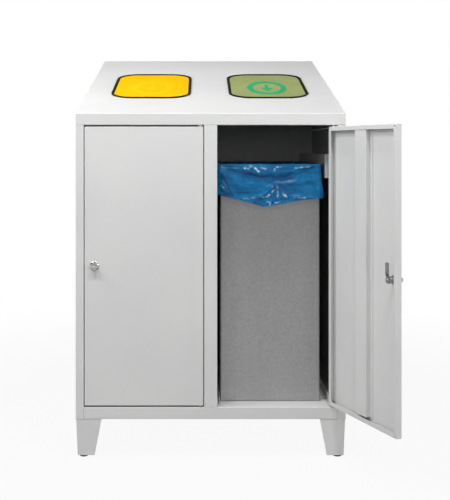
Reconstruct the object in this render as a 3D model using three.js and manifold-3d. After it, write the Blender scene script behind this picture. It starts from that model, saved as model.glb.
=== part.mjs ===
// Double recycling bin: a sheet-steel cabinet on four feet, with two doors, a sloping hood with
// two push flaps, and inside each compartment a galvanised bin with a bag turned over its rim.
// Millimetres, +Z up. The front faces -Y and +X is to the right of someone standing before it.

import * as THREE from 'three';
import { mergeVertices } from 'three/addons/utils/BufferGeometryUtils.js';
import Module from 'manifold-3d';

const wasm = await Module();
wasm.setup();

// ---- driving dimensions ----------------------------------------------------------------------

const WIDTH = 700;
const DEPTH = 720;
const BODY_HEIGHT = 762;
const HOOD_FRONT_HEIGHT = 31;
const HOOD_RISE = 204; // how much higher the hood is at the back than at the front

const SHEET = 1.2; // the cabinet's sheet steel
const GAP = 0.3; // between pieces that are welded, screwed or laid together

const STILE_WIDTH = 21;
const POST_WIDTH = 34;
const FRAME_BEHIND_DOOR = 1; // stiles and post fold back this much further than a closed door
const SILL_HEIGHT = 31;
const FLANGE = 14; // the folded edges of hood, floor and back panel
const REAR_FLANGE = 20;

const FOOT_HEIGHT = 95;
const FOOT_SHEET = 2.5;
const FOOT_TOP_WIDTH = 66;
const FOOT_BOTTOM_WIDTH = 44;
const FOOT_TOP_INSET = 1; // of the foot's corner from the cabinet's corner
const FOOT_BOTTOM_INSET = 4.5;
const GLIDE_HEIGHT = 5;
const GLIDE_RADIUS = 11.5;
const GLIDE_TAPER = 1; // how much smaller its underside's radius is
const GLIDE_INSET = 15; // of the glide's centre from the foot's corner

const DOOR_THICKNESS = 15;
const DOOR_SIDE_GAP = 2;
const DOOR_END_GAP = 4; // above and below a door
const DOOR_LIP = 11;
const LIP_HOLE_RADIUS = 2;
const RIGHT_DOOR_OPEN = 112; // degrees, as the door stands in the rest pose

const STIFFENER_FACE = 50;
const STIFFENER_WELD_FLANGE = 10.5;
const STIFFENER_TOP_GAP = 1;
const STIFFENER_BOTTOM_GAP = 5;

const PIVOT_RADIUS = 2.5;
const PIVOT_FROM_EDGE = 8; // from the door's hinge edge to the pivot's axis
const PIVOT_SKIN_GAP = 0.8; // between the pivot pin and the inside of the door's skin
const PIVOT_REACH = 12; // into the door and into the frame
const PIVOT_COLLAR_RADIUS = 5;

const LATCH_FROM_EDGE = 26; // from the door's free edge to the latch's axis
const ROSETTE_RIM = 4; // of the rosette, beyond the housing
const ROSETTE_THICKNESS = 3;
const ROSETTE_BEVEL = 1;
const HOUSING_RADIUS = 8;
const HOUSING_BEHIND_DOOR = 4; // how far the housing stands out of the door's back
const HOUSING_NUT_RADIUS = 12.5;
const HOUSING_NUT_HEIGHT = 5;
const SPINDLE_RADIUS = 4;
const KNOB_NECK_RADIUS = 6;
const KNOB_PROUD = 16; // from the door's front face to the knob's end
const KNOB_GRIP_WIDTH = 22;
const KNOB_GRIP_HEIGHT = 12;
const KNOB_GRIP_LENGTH = 9;
const KNOB_BEVEL = 2;
const CAM_WIDTH = 13;
const CAM_REACH = 41;
const CAM_TAIL = 8;
const CAM_THICKNESS = 2;
const CAM_STEP = 2; // how far the cam's arm is cranked away from the door
const CAM_STEP_START = 10;
const CAM_STEP_END = 14;
const CAM_SCREW_RADIUS = 5;
const CAM_SCREW_HEIGHT = 2.8;

const LID_SIDE_MARGIN = 74.5; // from the hood's side to the opening in its sheet
const LID_CENTRE_MARGIN = 57.5; // from the hood's middle to that opening
const LID_FRONT_MARGIN = 177; // from the hood's front edge, along the slope
const LID_OPENING_LENGTH = 322; // along the slope
const LID_CORNER_RADIUS = 60;

const TRIM_OVERLAP = 4; // over the sheet, outside
const TRIM_UNDERLAP = 3; // under the sheet, inside
const TRIM_WALL = 2;
const TRIM_PROUD = 4;
const TRIM_LIP = 2;

const FLAP_THICKNESS = 3;
const FLAP_CLEARANCE = 1.7; // all round, inside the trim
const FLAP_PROUD = 1.5;
const EAR_SETBACK = 1; // of an ear's web from the flap's rear edge
const FLAP_HEADROOM = 2; // between the trim's inside lip and the ears on the hinge rod
const FLAP_AXIS_BEHIND = 4; // of that axis behind the opening in the sheet
const FLAP_ROD_RADIUS = 4;
const EAR_SPREAD = 40; // from the flap's middle to the middle of an ear
const EAR_THICKNESS = 4;
const EAR_WALL = 2.2; // round the rod's bore
const EAR_LENGTH = 48;
const BRACKET_SPREAD = 52;
const BRACKET_SHEET = 2;
const BRACKET_FOOT = 14;
const BRACKET_LENGTH = 20;
const BRACKET_TRIM_GAP = 2;
const BRACKET_ROOT = 1; // how deep a bracket's cheek runs into its foot
const ROD_END = 5; // how far the rod stands out of each bracket
const SPRING_LENGTH = 60;
const SPRING_WIRE = 2.7;

const BIN_SHEET = 1;
const BIN_NEAR_GAP = 9; // from the door opening's free side to the bin
const BIN_HINGE_GAP = 39; // from the door opening's hinge side to the bin
const BIN_FRONT_GAP = 58;
const BIN_BACK_GAP = 118;
const BIN_HEADROOM = 103; // from the bin's rim to the top of the body

const BAG_SHEET = 1.5;
const BAG_CLEARANCE = 0.5; // from the bin's walls, inside and outside
const BAG_CUFF = 104; // how far the bag is turned down over the bin's rim
const BAG_CUFF_SHEET = 2.5;

const RAIL_HEIGHT = 64;
const RAIL_DROP = 75; // from the top of the body to the rail's top
const RAIL_SETBACK = 25; // of its face, from the door opening's hinge side
const RAIL_FRONT = 60; // of its front end, behind the cabinet's front
const RAIL_BACK_GAP = 16;
const GUIDE_HEIGHT = 20;
const GUIDE_FRONT = 24;
const GUIDE_SETBACK = 17; // of the hinge side's floor guide, from the door opening
const GUIDE_BIN_GAP = 2; // of the other floor guide, from the bin

// ---- places worked out from them -------------------------------------------------------------

const BODY_BOTTOM = GLIDE_HEIGHT + FOOT_HEIGHT;
const BODY_TOP = BODY_BOTTOM + BODY_HEIGHT;
const SILL_TOP = BODY_BOTTOM + SILL_HEIGHT;
const HOOD_FRONT_TOP = BODY_TOP + HOOD_FRONT_HEIGHT;
const SLOPE = Math.atan2(HOOD_RISE, DEPTH);
const PANEL_TOP = BODY_TOP - GAP;
const REAR_SEAT = DEPTH - SHEET - GAP; // the face that the side panels' rear flanges are fixed to
const SIDE_SEAT = WIDTH / 2 - SHEET - GAP; // the same on the inside of each side panel

const FRAME_DEPTH = DOOR_THICKNESS + FRAME_BEHIND_DOOR;
const PIVOT_FROM_FACE = SHEET + PIVOT_SKIN_GAP + PIVOT_RADIUS; // the axis behind the door's front face
const HOUSING_REACH = DOOR_THICKNESS + HOUSING_BEHIND_DOOR;
const ROSETTE_RADIUS = HOUSING_RADIUS + ROSETTE_RIM;
const EAR_RADIUS = FLAP_ROD_RADIUS + GAP + EAR_WALL;
const SPRING_RADIUS = FLAP_ROD_RADIUS + GAP + SPRING_WIRE;
// The hinge rod's axis, below the top face of the hood's sheet.
const FLAP_AXIS_DROP = SHEET + GAP + TRIM_LIP + FLAP_HEADROOM + EAR_RADIUS;

const OPENING_WIDTH = (WIDTH - 2 * STILE_WIDTH - POST_WIDTH) / 2;
const DOOR_WIDTH = OPENING_WIDTH - 2 * DOOR_SIDE_GAP;
const DOOR_BOTTOM = SILL_TOP + DOOR_END_GAP;
const DOOR_HEIGHT = BODY_TOP - DOOR_END_GAP - DOOR_BOTTOM;

const BIN_WIDTH = OPENING_WIDTH - BIN_NEAR_GAP - BIN_HINGE_GAP;
const BIN_BOTTOM = SILL_TOP + GAP;
const BIN_TOP = BODY_TOP - BIN_HEADROOM;
const BIN_BACK = DEPTH - BIN_BACK_GAP;

const LID_OPENING_WIDTH = WIDTH / 2 - LID_SIDE_MARGIN - LID_CENTRE_MARGIN;
const LID_OPENING_X = LID_CENTRE_MARGIN + LID_OPENING_WIDTH / 2;
const LID_OPENING_MIDDLE = LID_FRONT_MARGIN + LID_OPENING_LENGTH / 2;
const FLAP_AXIS_ALONG = LID_OPENING_LENGTH / 2 + FLAP_AXIS_BEHIND; // from the opening's middle

const COMPARTMENTS = [
  {
    side: 'left',
    openingLeft: STILE_WIDTH - WIDTH / 2,
    wallLeft: SHEET - WIDTH / 2,
    wallRight: -SHEET / 2,
    lidX: -LID_OPENING_X,
    doorOpen: 0,
  },
  {
    side: 'right',
    openingLeft: POST_WIDTH / 2,
    wallLeft: SHEET / 2,
    wallRight: WIDTH / 2 - SHEET,
    lidX: LID_OPENING_X,
    doorOpen: RIGHT_DOOR_OPEN,
  },
];

// ---- materials -------------------------------------------------------------------------------

function material(color, roughness, metalness) {
  return new THREE.MeshStandardMaterial({ color, roughness, metalness, flatShading: true });
}

const POWDER_COAT = material(0xd5d7d6, 0.5, 0);
const GALVANISED = material(0x9b9d9c, 0.45, 0.8);
const CHROME = material(0xcfd0d2, 0.15, 1);
const ZINC = material(0x8b8c8a, 0.4, 0.9);
const BLACK_RUBBER = material(0x1c1c1a, 0.8, 0);
const BLACK_PLASTIC = material(0x19181b, 0.6, 0);
const YELLOW_PLASTIC = material(0xfcd400, 0.4, 0);
const GREEN_PLASTIC = material(0x9ba56e, 0.4, 0);
const BLUE_FILM = material(0x2a86c0, 0.35, 0);

// ---- geometry helpers ------------------------------------------------------------------------

const CIRCLE_SIDES = 16;
const CORNER_DIVISIONS = 4; // an arc in an outline gets twice as many facets
const CUT = 1; // how far a cutting shape stands out of what it cuts
const SAME_POINT = 1e-4; // points closer than this are one

function toSolid(geometry) {
  const bare = geometry.clone();
  bare.deleteAttribute('normal');
  bare.deleteAttribute('uv');
  const merged = mergeVertices(bare, SAME_POINT);
  return new wasm.Manifold(new wasm.Mesh({
    numProp: 3,
    vertProperties: new Float32Array(merged.attributes.position.array),
    triVerts: new Uint32Array(merged.index.array),
  }));
}

function toGeometry(solid) {
  const mesh = solid.getMesh();
  const geometry = new THREE.BufferGeometry();
  geometry.setAttribute('position', new THREE.BufferAttribute(mesh.vertProperties, 3));
  geometry.setIndex(new THREE.BufferAttribute(mesh.triVerts, 1));
  return geometry;
}

function cut(geometry, ...tools) {
  return toGeometry(tools.reduce((rest, tool) => rest.subtract(toSolid(tool)), toSolid(geometry)));
}

function join(geometry, ...others) {
  return toGeometry(others.reduce((sum, other) => sum.add(toSolid(other)), toSolid(geometry)));
}

function box([x0, x1], [y0, y1], [z0, z1]) {
  return new THREE.BoxGeometry(x1 - x0, y1 - y0, z1 - z0)
    .translate((x0 + x1) / 2, (y0 + y1) / 2, (z0 + z1) / 2);
}

function outline(points) {
  return new THREE.Shape(points.map(([x, y]) => new THREE.Vector2(x, y)));
}

// An outline in X and Y, drawn up from z0 to z1.
function prismZ(shape, z0, z1) {
  return new THREE.ExtrudeGeometry(shape, {
    depth: z1 - z0,
    bevelEnabled: false,
    curveSegments: CORNER_DIVISIONS,
  }).translate(0, 0, z0);
}

// An outline in Y and Z, drawn across from x0 to x1.
function prismX(shape, x0, x1) {
  const turn = new THREE.Matrix4().makeBasis(
    new THREE.Vector3(0, 1, 0),
    new THREE.Vector3(0, 0, 1),
    new THREE.Vector3(1, 0, 0),
  );
  return prismZ(shape, 0, x1 - x0).applyMatrix4(turn).translate(x0, 0, 0);
}

// An outline in X and Z, drawn back from y0 to y1.
function prismY(shape, y0, y1) {
  return prismZ(shape, 0, y1 - y0).rotateX(Math.PI / 2).translate(0, y1, 0);
}

function cylinderX(radius, x0, x1, y, z) {
  return new THREE.CylinderGeometry(radius, radius, x1 - x0, CIRCLE_SIDES)
    .rotateZ(-Math.PI / 2)
    .translate((x0 + x1) / 2, y, z);
}

function cylinderY(radius, y0, y1, x, z) {
  return new THREE.CylinderGeometry(radius, radius, y1 - y0, CIRCLE_SIDES)
    .translate(x, (y0 + y1) / 2, z);
}

function cylinderZ(radius, z0, z1, x, y) {
  return new THREE.CylinderGeometry(radius, radius, z1 - z0, CIRCLE_SIDES)
    .rotateX(Math.PI / 2)
    .translate(x, y, (z0 + z1) / 2);
}

// A profile of [radius, y] points turned about Y; it starts and ends on the axis or closes on itself.
function turned(profile) {
  return new THREE.LatheGeometry(profile.map(([r, y]) => new THREE.Vector2(r, y)), CIRCLE_SIDES);
}

function roundedRectangle(width, length, radius) {
  const [x, y] = [width / 2, length / 2];
  const shape = new THREE.Shape();
  shape.moveTo(x - radius, -y);
  shape.absarc(x - radius, radius - y, radius, -Math.PI / 2, 0);
  shape.absarc(x - radius, y - radius, radius, 0, Math.PI / 2);
  shape.absarc(radius - x, y - radius, radius, Math.PI / 2, Math.PI);
  shape.absarc(radius - x, radius - y, radius, Math.PI, Math.PI * 1.5);
  return shape;
}

// A tapering solid between two outlines with the same number of points.
function taper(bottom, z0, top, z1) {
  const count = bottom.length;
  const cap = THREE.ShapeUtils.triangulateShape(bottom.map(([x, y]) => new THREE.Vector2(x, y)), []);
  const index = [];
  for (const [a, b, c] of cap) {
    index.push(a, c, b, a + count, b + count, c + count);
  }
  for (let i = 0; i < count; i += 1) {
    const next = (i + 1) % count;
    index.push(i, next, next + count, i, next + count, i + count);
  }
  const geometry = new THREE.BufferGeometry();
  const points = [...bottom.map(([x, y]) => [x, y, z0]), ...top.map(([x, y]) => [x, y, z1])];
  geometry.setAttribute('position', new THREE.Float32BufferAttribute(points.flat(), 3));
  geometry.setIndex(index);
  return geometry;
}

// A copy turned over in X, Y or both, with its faces still pointing out.
function mirrored(geometry, signX, signY) {
  const copy = geometry.clone().scale(signX, signY, 1);
  if (signX * signY < 0) {
    const index = copy.index.array;
    for (let i = 0; i < index.length; i += 3) {
      [index[i + 1], index[i + 2]] = [index[i + 2], index[i + 1]];
    }
  }
  return copy;
}

function piece(name, geometry, finish, parent) {
  const mesh = new THREE.Mesh(geometry, finish.clone());
  mesh.name = name;
  parent.add(mesh);
}

// The height of the hood's slope over a point, less a depth measured square to the slope.
function slopeHeight(y, depth) {
  return HOOD_FRONT_TOP + y * Math.tan(SLOPE) - depth / Math.cos(SLOPE);
}

// ---- cabinet body ----------------------------------------------------------------------------

// The left side panel: a skin with the front stile and the rear flange folded out of it.
function sidePanel() {
  const [skin, stile] = [-WIDTH / 2, STILE_WIDTH - WIDTH / 2];
  const rear = REAR_FLANGE - WIDTH / 2;
  return prismZ(outline([
    [skin, 0],
    [stile, 0],
    [stile, FRAME_DEPTH],
    [stile - SHEET, FRAME_DEPTH],
    [stile - SHEET, SHEET],
    [skin + SHEET, SHEET],
    [skin + SHEET, DEPTH - SHEET],
    [rear, DEPTH - SHEET],
    [rear, DEPTH],
    [skin, DEPTH],
  ]), BODY_BOTTOM, PANEL_TOP);
}

function backPanel() {
  const [x, y] = [SIDE_SEAT, REAR_SEAT];
  return prismZ(outline([
    [-x, y - FLANGE],
    [SHEET - x, y - FLANGE],
    [SHEET - x, y - SHEET],
    [x - SHEET, y - SHEET],
    [x - SHEET, y - FLANGE],
    [x, y - FLANGE],
    [x, y],
    [-x, y],
  ]), SILL_TOP + GAP, PANEL_TOP);
}

// The floor and its folded edges; the front one is the sill. Two corners are notched for the stiles.
function floorPan() {
  const reach = DEPTH; // longer than any notch or hole that it cuts
  const notch = WIDTH / 2 - STILE_WIDTH - GAP;
  const [x, y] = [SIDE_SEAT, REAR_SEAT];
  const pivots = COMPARTMENTS.map(({ openingLeft }) => cylinderZ(
    PIVOT_RADIUS + GAP,
    SILL_TOP - FLANGE,
    SILL_TOP + FLANGE,
    pivotX(openingLeft),
    PIVOT_FROM_FACE,
  ));
  return cut(
    box([-x, x], [0, y], [BODY_BOTTOM, SILL_TOP]),
    box([SHEET - x, x - SHEET], [SHEET, y - SHEET], [BODY_BOTTOM + SHEET, SILL_TOP - SHEET]),
    box([FLANGE - x, x - FLANGE], [FLANGE, y - FLANGE], [0, BODY_BOTTOM + 2 * SHEET]),
    box([-reach, -notch], [-reach, FRAME_DEPTH + GAP], [0, reach]),
    box([notch, reach], [-reach, FRAME_DEPTH + GAP], [0, reach]),
    ...pivots,
  );
}

function centrePost() {
  const x = POST_WIDTH / 2;
  return prismZ(outline([
    [-x, 0],
    [x, 0],
    [x, FRAME_DEPTH],
    [x - SHEET, FRAME_DEPTH],
    [x - SHEET, SHEET],
    [SHEET - x, SHEET],
    [SHEET - x, FRAME_DEPTH],
    [-x, FRAME_DEPTH],
  ]), SILL_TOP + GAP, PANEL_TOP);
}

function partition() {
  return box(
    [-SHEET / 2, SHEET / 2],
    [SHEET + GAP, REAR_SEAT - SHEET - GAP],
    [SILL_TOP + GAP, PANEL_TOP],
  );
}

// The hood: front band, slope, sides and back in one shell, with a flange round its underside.
function hood() {
  const x = WIDTH / 2;
  const shell = prismX(outline([
    [0, BODY_TOP],
    [DEPTH, BODY_TOP],
    [DEPTH, slopeHeight(DEPTH, 0)],
    [0, HOOD_FRONT_TOP],
  ]), -x, x);
  const hollow = prismX(outline([
    [SHEET, BODY_TOP + SHEET],
    [DEPTH - SHEET, BODY_TOP + SHEET],
    [DEPTH - SHEET, slopeHeight(DEPTH - SHEET, SHEET)],
    [SHEET, slopeHeight(SHEET, SHEET)],
  ]), SHEET - x, x - SHEET);
  const mouth = box(
    [FLANGE + SHEET - x, x - SHEET - FLANGE],
    [FRAME_DEPTH, REAR_SEAT - FLANGE],
    [BODY_TOP - SHEET, BODY_TOP + 2 * SHEET],
  );
  const lids = COMPARTMENTS.map(({ lidX }) => prismZ(
    roundedRectangle(LID_OPENING_WIDTH, LID_OPENING_LENGTH, LID_CORNER_RADIUS),
    -FLANGE,
    FLANGE,
  )
    .translate(lidX, LID_OPENING_MIDDLE, 0)
    .rotateX(SLOPE)
    .translate(0, 0, HOOD_FRONT_TOP));
  const pivots = COMPARTMENTS.map(({ openingLeft }) => cylinderZ(
    PIVOT_RADIUS + GAP,
    BODY_TOP - SHEET,
    BODY_TOP + 2 * SHEET,
    pivotX(openingLeft),
    PIVOT_FROM_FACE,
  ));
  return cut(shell, hollow, mouth, ...lids, ...pivots);
}

// One pressed foot for the front left corner: two tapering faces, a top plate and a glide's seat.
function foot() {
  const angle = (corner, width) => [
    [corner, corner],
    [corner + width, corner],
    [corner + width, corner + FOOT_SHEET],
    [corner + FOOT_SHEET, corner + FOOT_SHEET],
    [corner + FOOT_SHEET, corner + width],
    [corner, corner + width],
  ];
  const [low, high] = [GLIDE_HEIGHT + GAP, BODY_BOTTOM - GAP];
  const plate = (corner, width, z0) => box(
    [corner, corner + width],
    [corner, corner + width],
    [z0, z0 + FOOT_SHEET],
  );
  const seat = 2 * GLIDE_INSET;
  return join(
    taper(angle(FOOT_BOTTOM_INSET, FOOT_BOTTOM_WIDTH), low, angle(FOOT_TOP_INSET, FOOT_TOP_WIDTH), high),
    plate(FOOT_TOP_INSET, FOOT_TOP_WIDTH, high - FOOT_SHEET),
    plate(FOOT_BOTTOM_INSET, seat, low),
  );
}

function glide() {
  const centre = FOOT_BOTTOM_INSET + GLIDE_INSET;
  return new THREE.CylinderGeometry(GLIDE_RADIUS, GLIDE_RADIUS - GLIDE_TAPER, GLIDE_HEIGHT, CIRCLE_SIDES)
    .rotateX(Math.PI / 2)
    .translate(centre, centre, GLIDE_HEIGHT / 2);
}

function addBody(cabinet) {
  piece('left_side_panel', sidePanel(), POWDER_COAT, cabinet);
  piece('right_side_panel', mirrored(toGeometry(toSolid(sidePanel())), -1, 1), POWDER_COAT, cabinet);
  piece('back_panel', backPanel(), POWDER_COAT, cabinet);
  piece('floor_pan', floorPan(), POWDER_COAT, cabinet);
  piece('centre_post', centrePost(), POWDER_COAT, cabinet);
  piece('partition', partition(), POWDER_COAT, cabinet);
  piece('hood', hood(), POWDER_COAT, cabinet);
  for (const [end, signY] of [['front', 1], ['rear', -1]]) {
    for (const [side, signX] of [['left', 1], ['right', -1]]) {
      const corner = new THREE.Group();
      corner.position.set(-signX * WIDTH / 2, signY > 0 ? 0 : DEPTH, 0);
      piece(`${end}_${side}_foot`, mirrored(foot(), signX, signY), POWDER_COAT, corner);
      piece(`${end}_${side}_glide`, mirrored(glide(), signX, signY), BLACK_PLASTIC, corner);
      cabinet.add(corner);
    }
  }
}

// ---- doors -----------------------------------------------------------------------------------

function pivotX(openingLeft) {
  return openingLeft + OPENING_WIDTH - DOOR_SIDE_GAP - PIVOT_FROM_EDGE;
}

// A door's own frame has its origin on the pivot's axis, at the door's bottom edge.
const DOOR_X = [PIVOT_FROM_EDGE - DOOR_WIDTH, PIVOT_FROM_EDGE];
const DOOR_Y = [-PIVOT_FROM_FACE, DOOR_THICKNESS - PIVOT_FROM_FACE];

function doorTray() {
  const [[left, right], [face, back]] = [DOOR_X, DOOR_Y];
  const lipHoles = [
    [left, DOOR_HEIGHT],
    [left, 0],
    [right, 0],
  ].map(([x, z]) => {
    const inset = DOOR_LIP / 2;
    return cylinderY(
      LIP_HOLE_RADIUS,
      back - SHEET - CUT,
      back + CUT,
      x + (x === left ? inset : -inset),
      z + (z === 0 ? inset : -inset),
    );
  });
  const housingHole = cylinderY(
    HOUSING_RADIUS + GAP,
    face - CUT,
    face + SHEET + CUT,
    left + LATCH_FROM_EDGE,
    DOOR_HEIGHT / 2,
  );
  return cut(
    box([left, right], [face, back], [0, DOOR_HEIGHT]),
    box([left + SHEET, right - SHEET], [face + SHEET, back - SHEET], [SHEET, DOOR_HEIGHT - SHEET]),
    box([left + DOOR_LIP, right - DOOR_LIP], [0, 2 * back], [DOOR_LIP, DOOR_HEIGHT - DOOR_LIP]),
    cylinderZ(PIVOT_RADIUS + GAP, -FLANGE, DOOR_HEIGHT + FLANGE, 0, 0),
    housingHole,
    ...lipHoles,
  );
}

// The hat-shaped stiffener down the middle of the door's inside, its face level with the lips.
function doorStiffener() {
  const middle = (DOOR_X[0] + DOOR_X[1]) / 2;
  const [weld, top] = [DOOR_Y[0] + SHEET + GAP, DOOR_Y[1]];
  const inner = STIFFENER_FACE / 2;
  const outer = inner + STIFFENER_WELD_FLANGE;
  return prismZ(outline([
    [-outer, weld],
    [SHEET - inner, weld],
    [SHEET - inner, top - SHEET],
    [inner - SHEET, top - SHEET],
    [inner - SHEET, weld],
    [outer, weld],
    [outer, weld + SHEET],
    [inner, weld + SHEET],
    [inner, top],
    [-inner, top],
    [-inner, weld + SHEET],
    [-outer, weld + SHEET],
  ]), DOOR_LIP + STIFFENER_BOTTOM_GAP, DOOR_HEIGHT - DOOR_LIP - STIFFENER_TOP_GAP)
    .translate(middle, 0, 0);
}

// A pivot pin through the frame and the door's edge, with a collar in the gap between them.
function pivot() {
  return turned([
    [0, -PIVOT_REACH],
    [PIVOT_RADIUS, -PIVOT_REACH],
    [PIVOT_RADIUS, GAP],
    [PIVOT_COLLAR_RADIUS, GAP],
    [PIVOT_COLLAR_RADIUS, DOOR_END_GAP - GAP],
    [PIVOT_RADIUS, DOOR_END_GAP - GAP],
    [PIVOT_RADIUS, DOOR_END_GAP + PIVOT_REACH],
    [0, DOOR_END_GAP + PIVOT_REACH],
  ]).rotateX(Math.PI / 2);
}

// The latch's own frame has Y along its axis, from 0 at the door's front face into the cabinet.
function latchHousing() {
  return turned([
    [SPINDLE_RADIUS + GAP, -GAP - ROSETTE_THICKNESS],
    [ROSETTE_RADIUS - ROSETTE_BEVEL, -GAP - ROSETTE_THICKNESS],
    [ROSETTE_RADIUS, ROSETTE_BEVEL - GAP - ROSETTE_THICKNESS],
    [ROSETTE_RADIUS, -GAP],
    [HOUSING_RADIUS, -GAP],
    [HOUSING_RADIUS, HOUSING_REACH],
    [SPINDLE_RADIUS + GAP, HOUSING_REACH],
    [SPINDLE_RADIUS + GAP, -GAP - ROSETTE_THICKNESS],
  ]);
}

function housingNut() {
  const nut = new THREE.CylinderGeometry(HOUSING_NUT_RADIUS, HOUSING_NUT_RADIUS, HOUSING_NUT_HEIGHT, 6)
    .translate(0, SHEET + GAP + HOUSING_NUT_HEIGHT / 2, 0);
  return cut(nut, cylinderY(HOUSING_RADIUS + GAP, 0, HOUSING_REACH, 0, 0));
}

const CAM_FRONT = HOUSING_REACH + GAP;
const SPINDLE_END = CAM_FRONT + CAM_THICKNESS + GAP;

function knob() {
  const neckFront = KNOB_GRIP_LENGTH - KNOB_PROUD;
  const neckBack = -2 * GAP - ROSETTE_THICKNESS;
  const stem = turned([
    [0, neckFront - KNOB_BEVEL],
    [KNOB_NECK_RADIUS, neckFront - KNOB_BEVEL],
    [KNOB_NECK_RADIUS, neckBack],
    [SPINDLE_RADIUS, neckBack],
    [SPINDLE_RADIUS, SPINDLE_END],
    [0, SPINDLE_END],
  ]);
  const [width, height] = [KNOB_GRIP_WIDTH - 2 * KNOB_BEVEL, KNOB_GRIP_HEIGHT - 2 * KNOB_BEVEL];
  const grip = new THREE.ExtrudeGeometry(roundedRectangle(width, height, height / 2 - GAP), {
    depth: KNOB_GRIP_LENGTH - 2 * KNOB_BEVEL,
    bevelSize: KNOB_BEVEL,
    bevelThickness: KNOB_BEVEL,
    bevelSegments: 2,
    curveSegments: 2,
  }).rotateX(Math.PI / 2).translate(0, neckFront - KNOB_BEVEL, 0);
  return join(stem, grip);
}

// The cranked cam, pointing up: its arm steps away from the door so that it closes behind the frame.
function cam() {
  const [front, back] = [CAM_FRONT, CAM_FRONT + CAM_THICKNESS];
  const plate = prismX(outline([
    [front, -CAM_TAIL],
    [back, -CAM_TAIL],
    [back, CAM_STEP_START],
    [back + CAM_STEP, CAM_STEP_END],
    [back + CAM_STEP, CAM_REACH],
    [front + CAM_STEP, CAM_REACH],
    [front + CAM_STEP, CAM_STEP_END],
    [front, CAM_STEP_START],
  ]), -CAM_WIDTH / 2, CAM_WIDTH / 2);
  return cut(plate, cylinderY(SPINDLE_RADIUS + GAP, front - CUT, back + CUT, 0, 0));
}

function camScrew() {
  return new THREE.CylinderGeometry(CAM_SCREW_RADIUS, CAM_SCREW_RADIUS, CAM_SCREW_HEIGHT, CIRCLE_SIDES)
    .translate(0, SPINDLE_END + GAP + CAM_SCREW_HEIGHT / 2, 0);
}

function addDoor({ side, openingLeft, doorOpen }, cabinet) {
  const x = pivotX(openingLeft);
  const door = new THREE.Group();
  door.position.set(x, PIVOT_FROM_FACE, DOOR_BOTTOM);
  door.rotation.z = THREE.MathUtils.degToRad(doorOpen);
  cabinet.add(door);
  piece(`${side}_door`, doorTray(), POWDER_COAT, door);
  piece(`${side}_door_stiffener`, doorStiffener(), POWDER_COAT, door);

  const latch = new THREE.Group();
  latch.position.set(DOOR_X[0] + LATCH_FROM_EDGE, DOOR_Y[0], DOOR_HEIGHT / 2);
  door.add(latch);
  piece(`${side}_latch_housing`, latchHousing(), CHROME, latch);
  piece(`${side}_latch_nut`, housingNut(), ZINC, latch);
  piece(`${side}_knob`, knob(), CHROME, latch);
  piece(`${side}_cam`, cam(), ZINC, latch);
  piece(`${side}_cam_screw`, camScrew(), ZINC, latch);

  const lower = pivot().translate(x, PIVOT_FROM_FACE, SILL_TOP);
  const upper = pivot().translate(x, PIVOT_FROM_FACE, BODY_TOP - DOOR_END_GAP);
  piece(`${side}_door_lower_pivot`, lower, ZINC, cabinet);
  piece(`${side}_door_upper_pivot`, upper, ZINC, cabinet);
}

// ---- lid openings and flaps ------------------------------------------------------------------

// These pieces share a frame with its origin in the middle of the opening, on the sheet's top face:
// Y runs up the slope and Z stands square to it.
function openingRing(outset, inset, z0, z1) {
  const grown = (amount) => roundedRectangle(
    LID_OPENING_WIDTH + 2 * amount,
    LID_OPENING_LENGTH + 2 * amount,
    LID_CORNER_RADIUS + amount,
  );
  return cut(prismZ(grown(outset), z0, z1), prismZ(grown(inset), z0 - CUT, z1 + CUT));
}

function openingTrim() {
  const [outside, inside] = [-GAP, -GAP - TRIM_WALL];
  const under = -SHEET - GAP;
  return join(
    openingRing(outside, inside, under - TRIM_LIP, TRIM_PROUD),
    openingRing(TRIM_OVERLAP, inside, GAP, TRIM_PROUD),
    openingRing(TRIM_UNDERLAP, inside, under - TRIM_LIP, under),
  );
}

function rodHole() {
  return cylinderX(
    FLAP_ROD_RADIUS + GAP,
    -LID_OPENING_WIDTH,
    LID_OPENING_WIDTH,
    FLAP_AXIS_ALONG,
    -FLAP_AXIS_DROP,
  );
}

// The flap: a plate that fills the opening and two ears that reach back to the hinge rod.
function flap() {
  const inset = GAP + TRIM_WALL + FLAP_CLEARANCE;
  const under = FLAP_PROUD - FLAP_THICKNESS;
  const plate = prismZ(roundedRectangle(
    LID_OPENING_WIDTH - 2 * inset,
    LID_OPENING_LENGTH - 2 * inset,
    LID_CORNER_RADIUS - inset,
  ), under, FLAP_PROUD);
  const rear = LID_OPENING_LENGTH / 2 - inset - EAR_SETBACK;
  const ears = [-EAR_SPREAD, EAR_SPREAD].flatMap((x) => {
    const [x0, x1] = [x - EAR_THICKNESS / 2, x + EAR_THICKNESS / 2];
    const web = prismX(outline([
      [FLAP_AXIS_ALONG - EAR_LENGTH, under + GAP],
      [FLAP_AXIS_ALONG, -FLAP_AXIS_DROP - EAR_RADIUS],
      [FLAP_AXIS_ALONG, EAR_RADIUS - FLAP_AXIS_DROP],
      [rear, EAR_RADIUS - FLAP_AXIS_DROP],
      [rear, under + GAP],
    ]), x0, x1);
    return [web, cylinderX(EAR_RADIUS, x0, x1, FLAP_AXIS_ALONG, -FLAP_AXIS_DROP)];
  });
  return cut(join(plate, ...ears), rodHole());
}

function flapRod() {
  const end = BRACKET_SPREAD + BRACKET_SHEET + ROD_END;
  return cylinderX(FLAP_ROD_RADIUS, -end, end, FLAP_AXIS_ALONG, -FLAP_AXIS_DROP);
}

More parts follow.
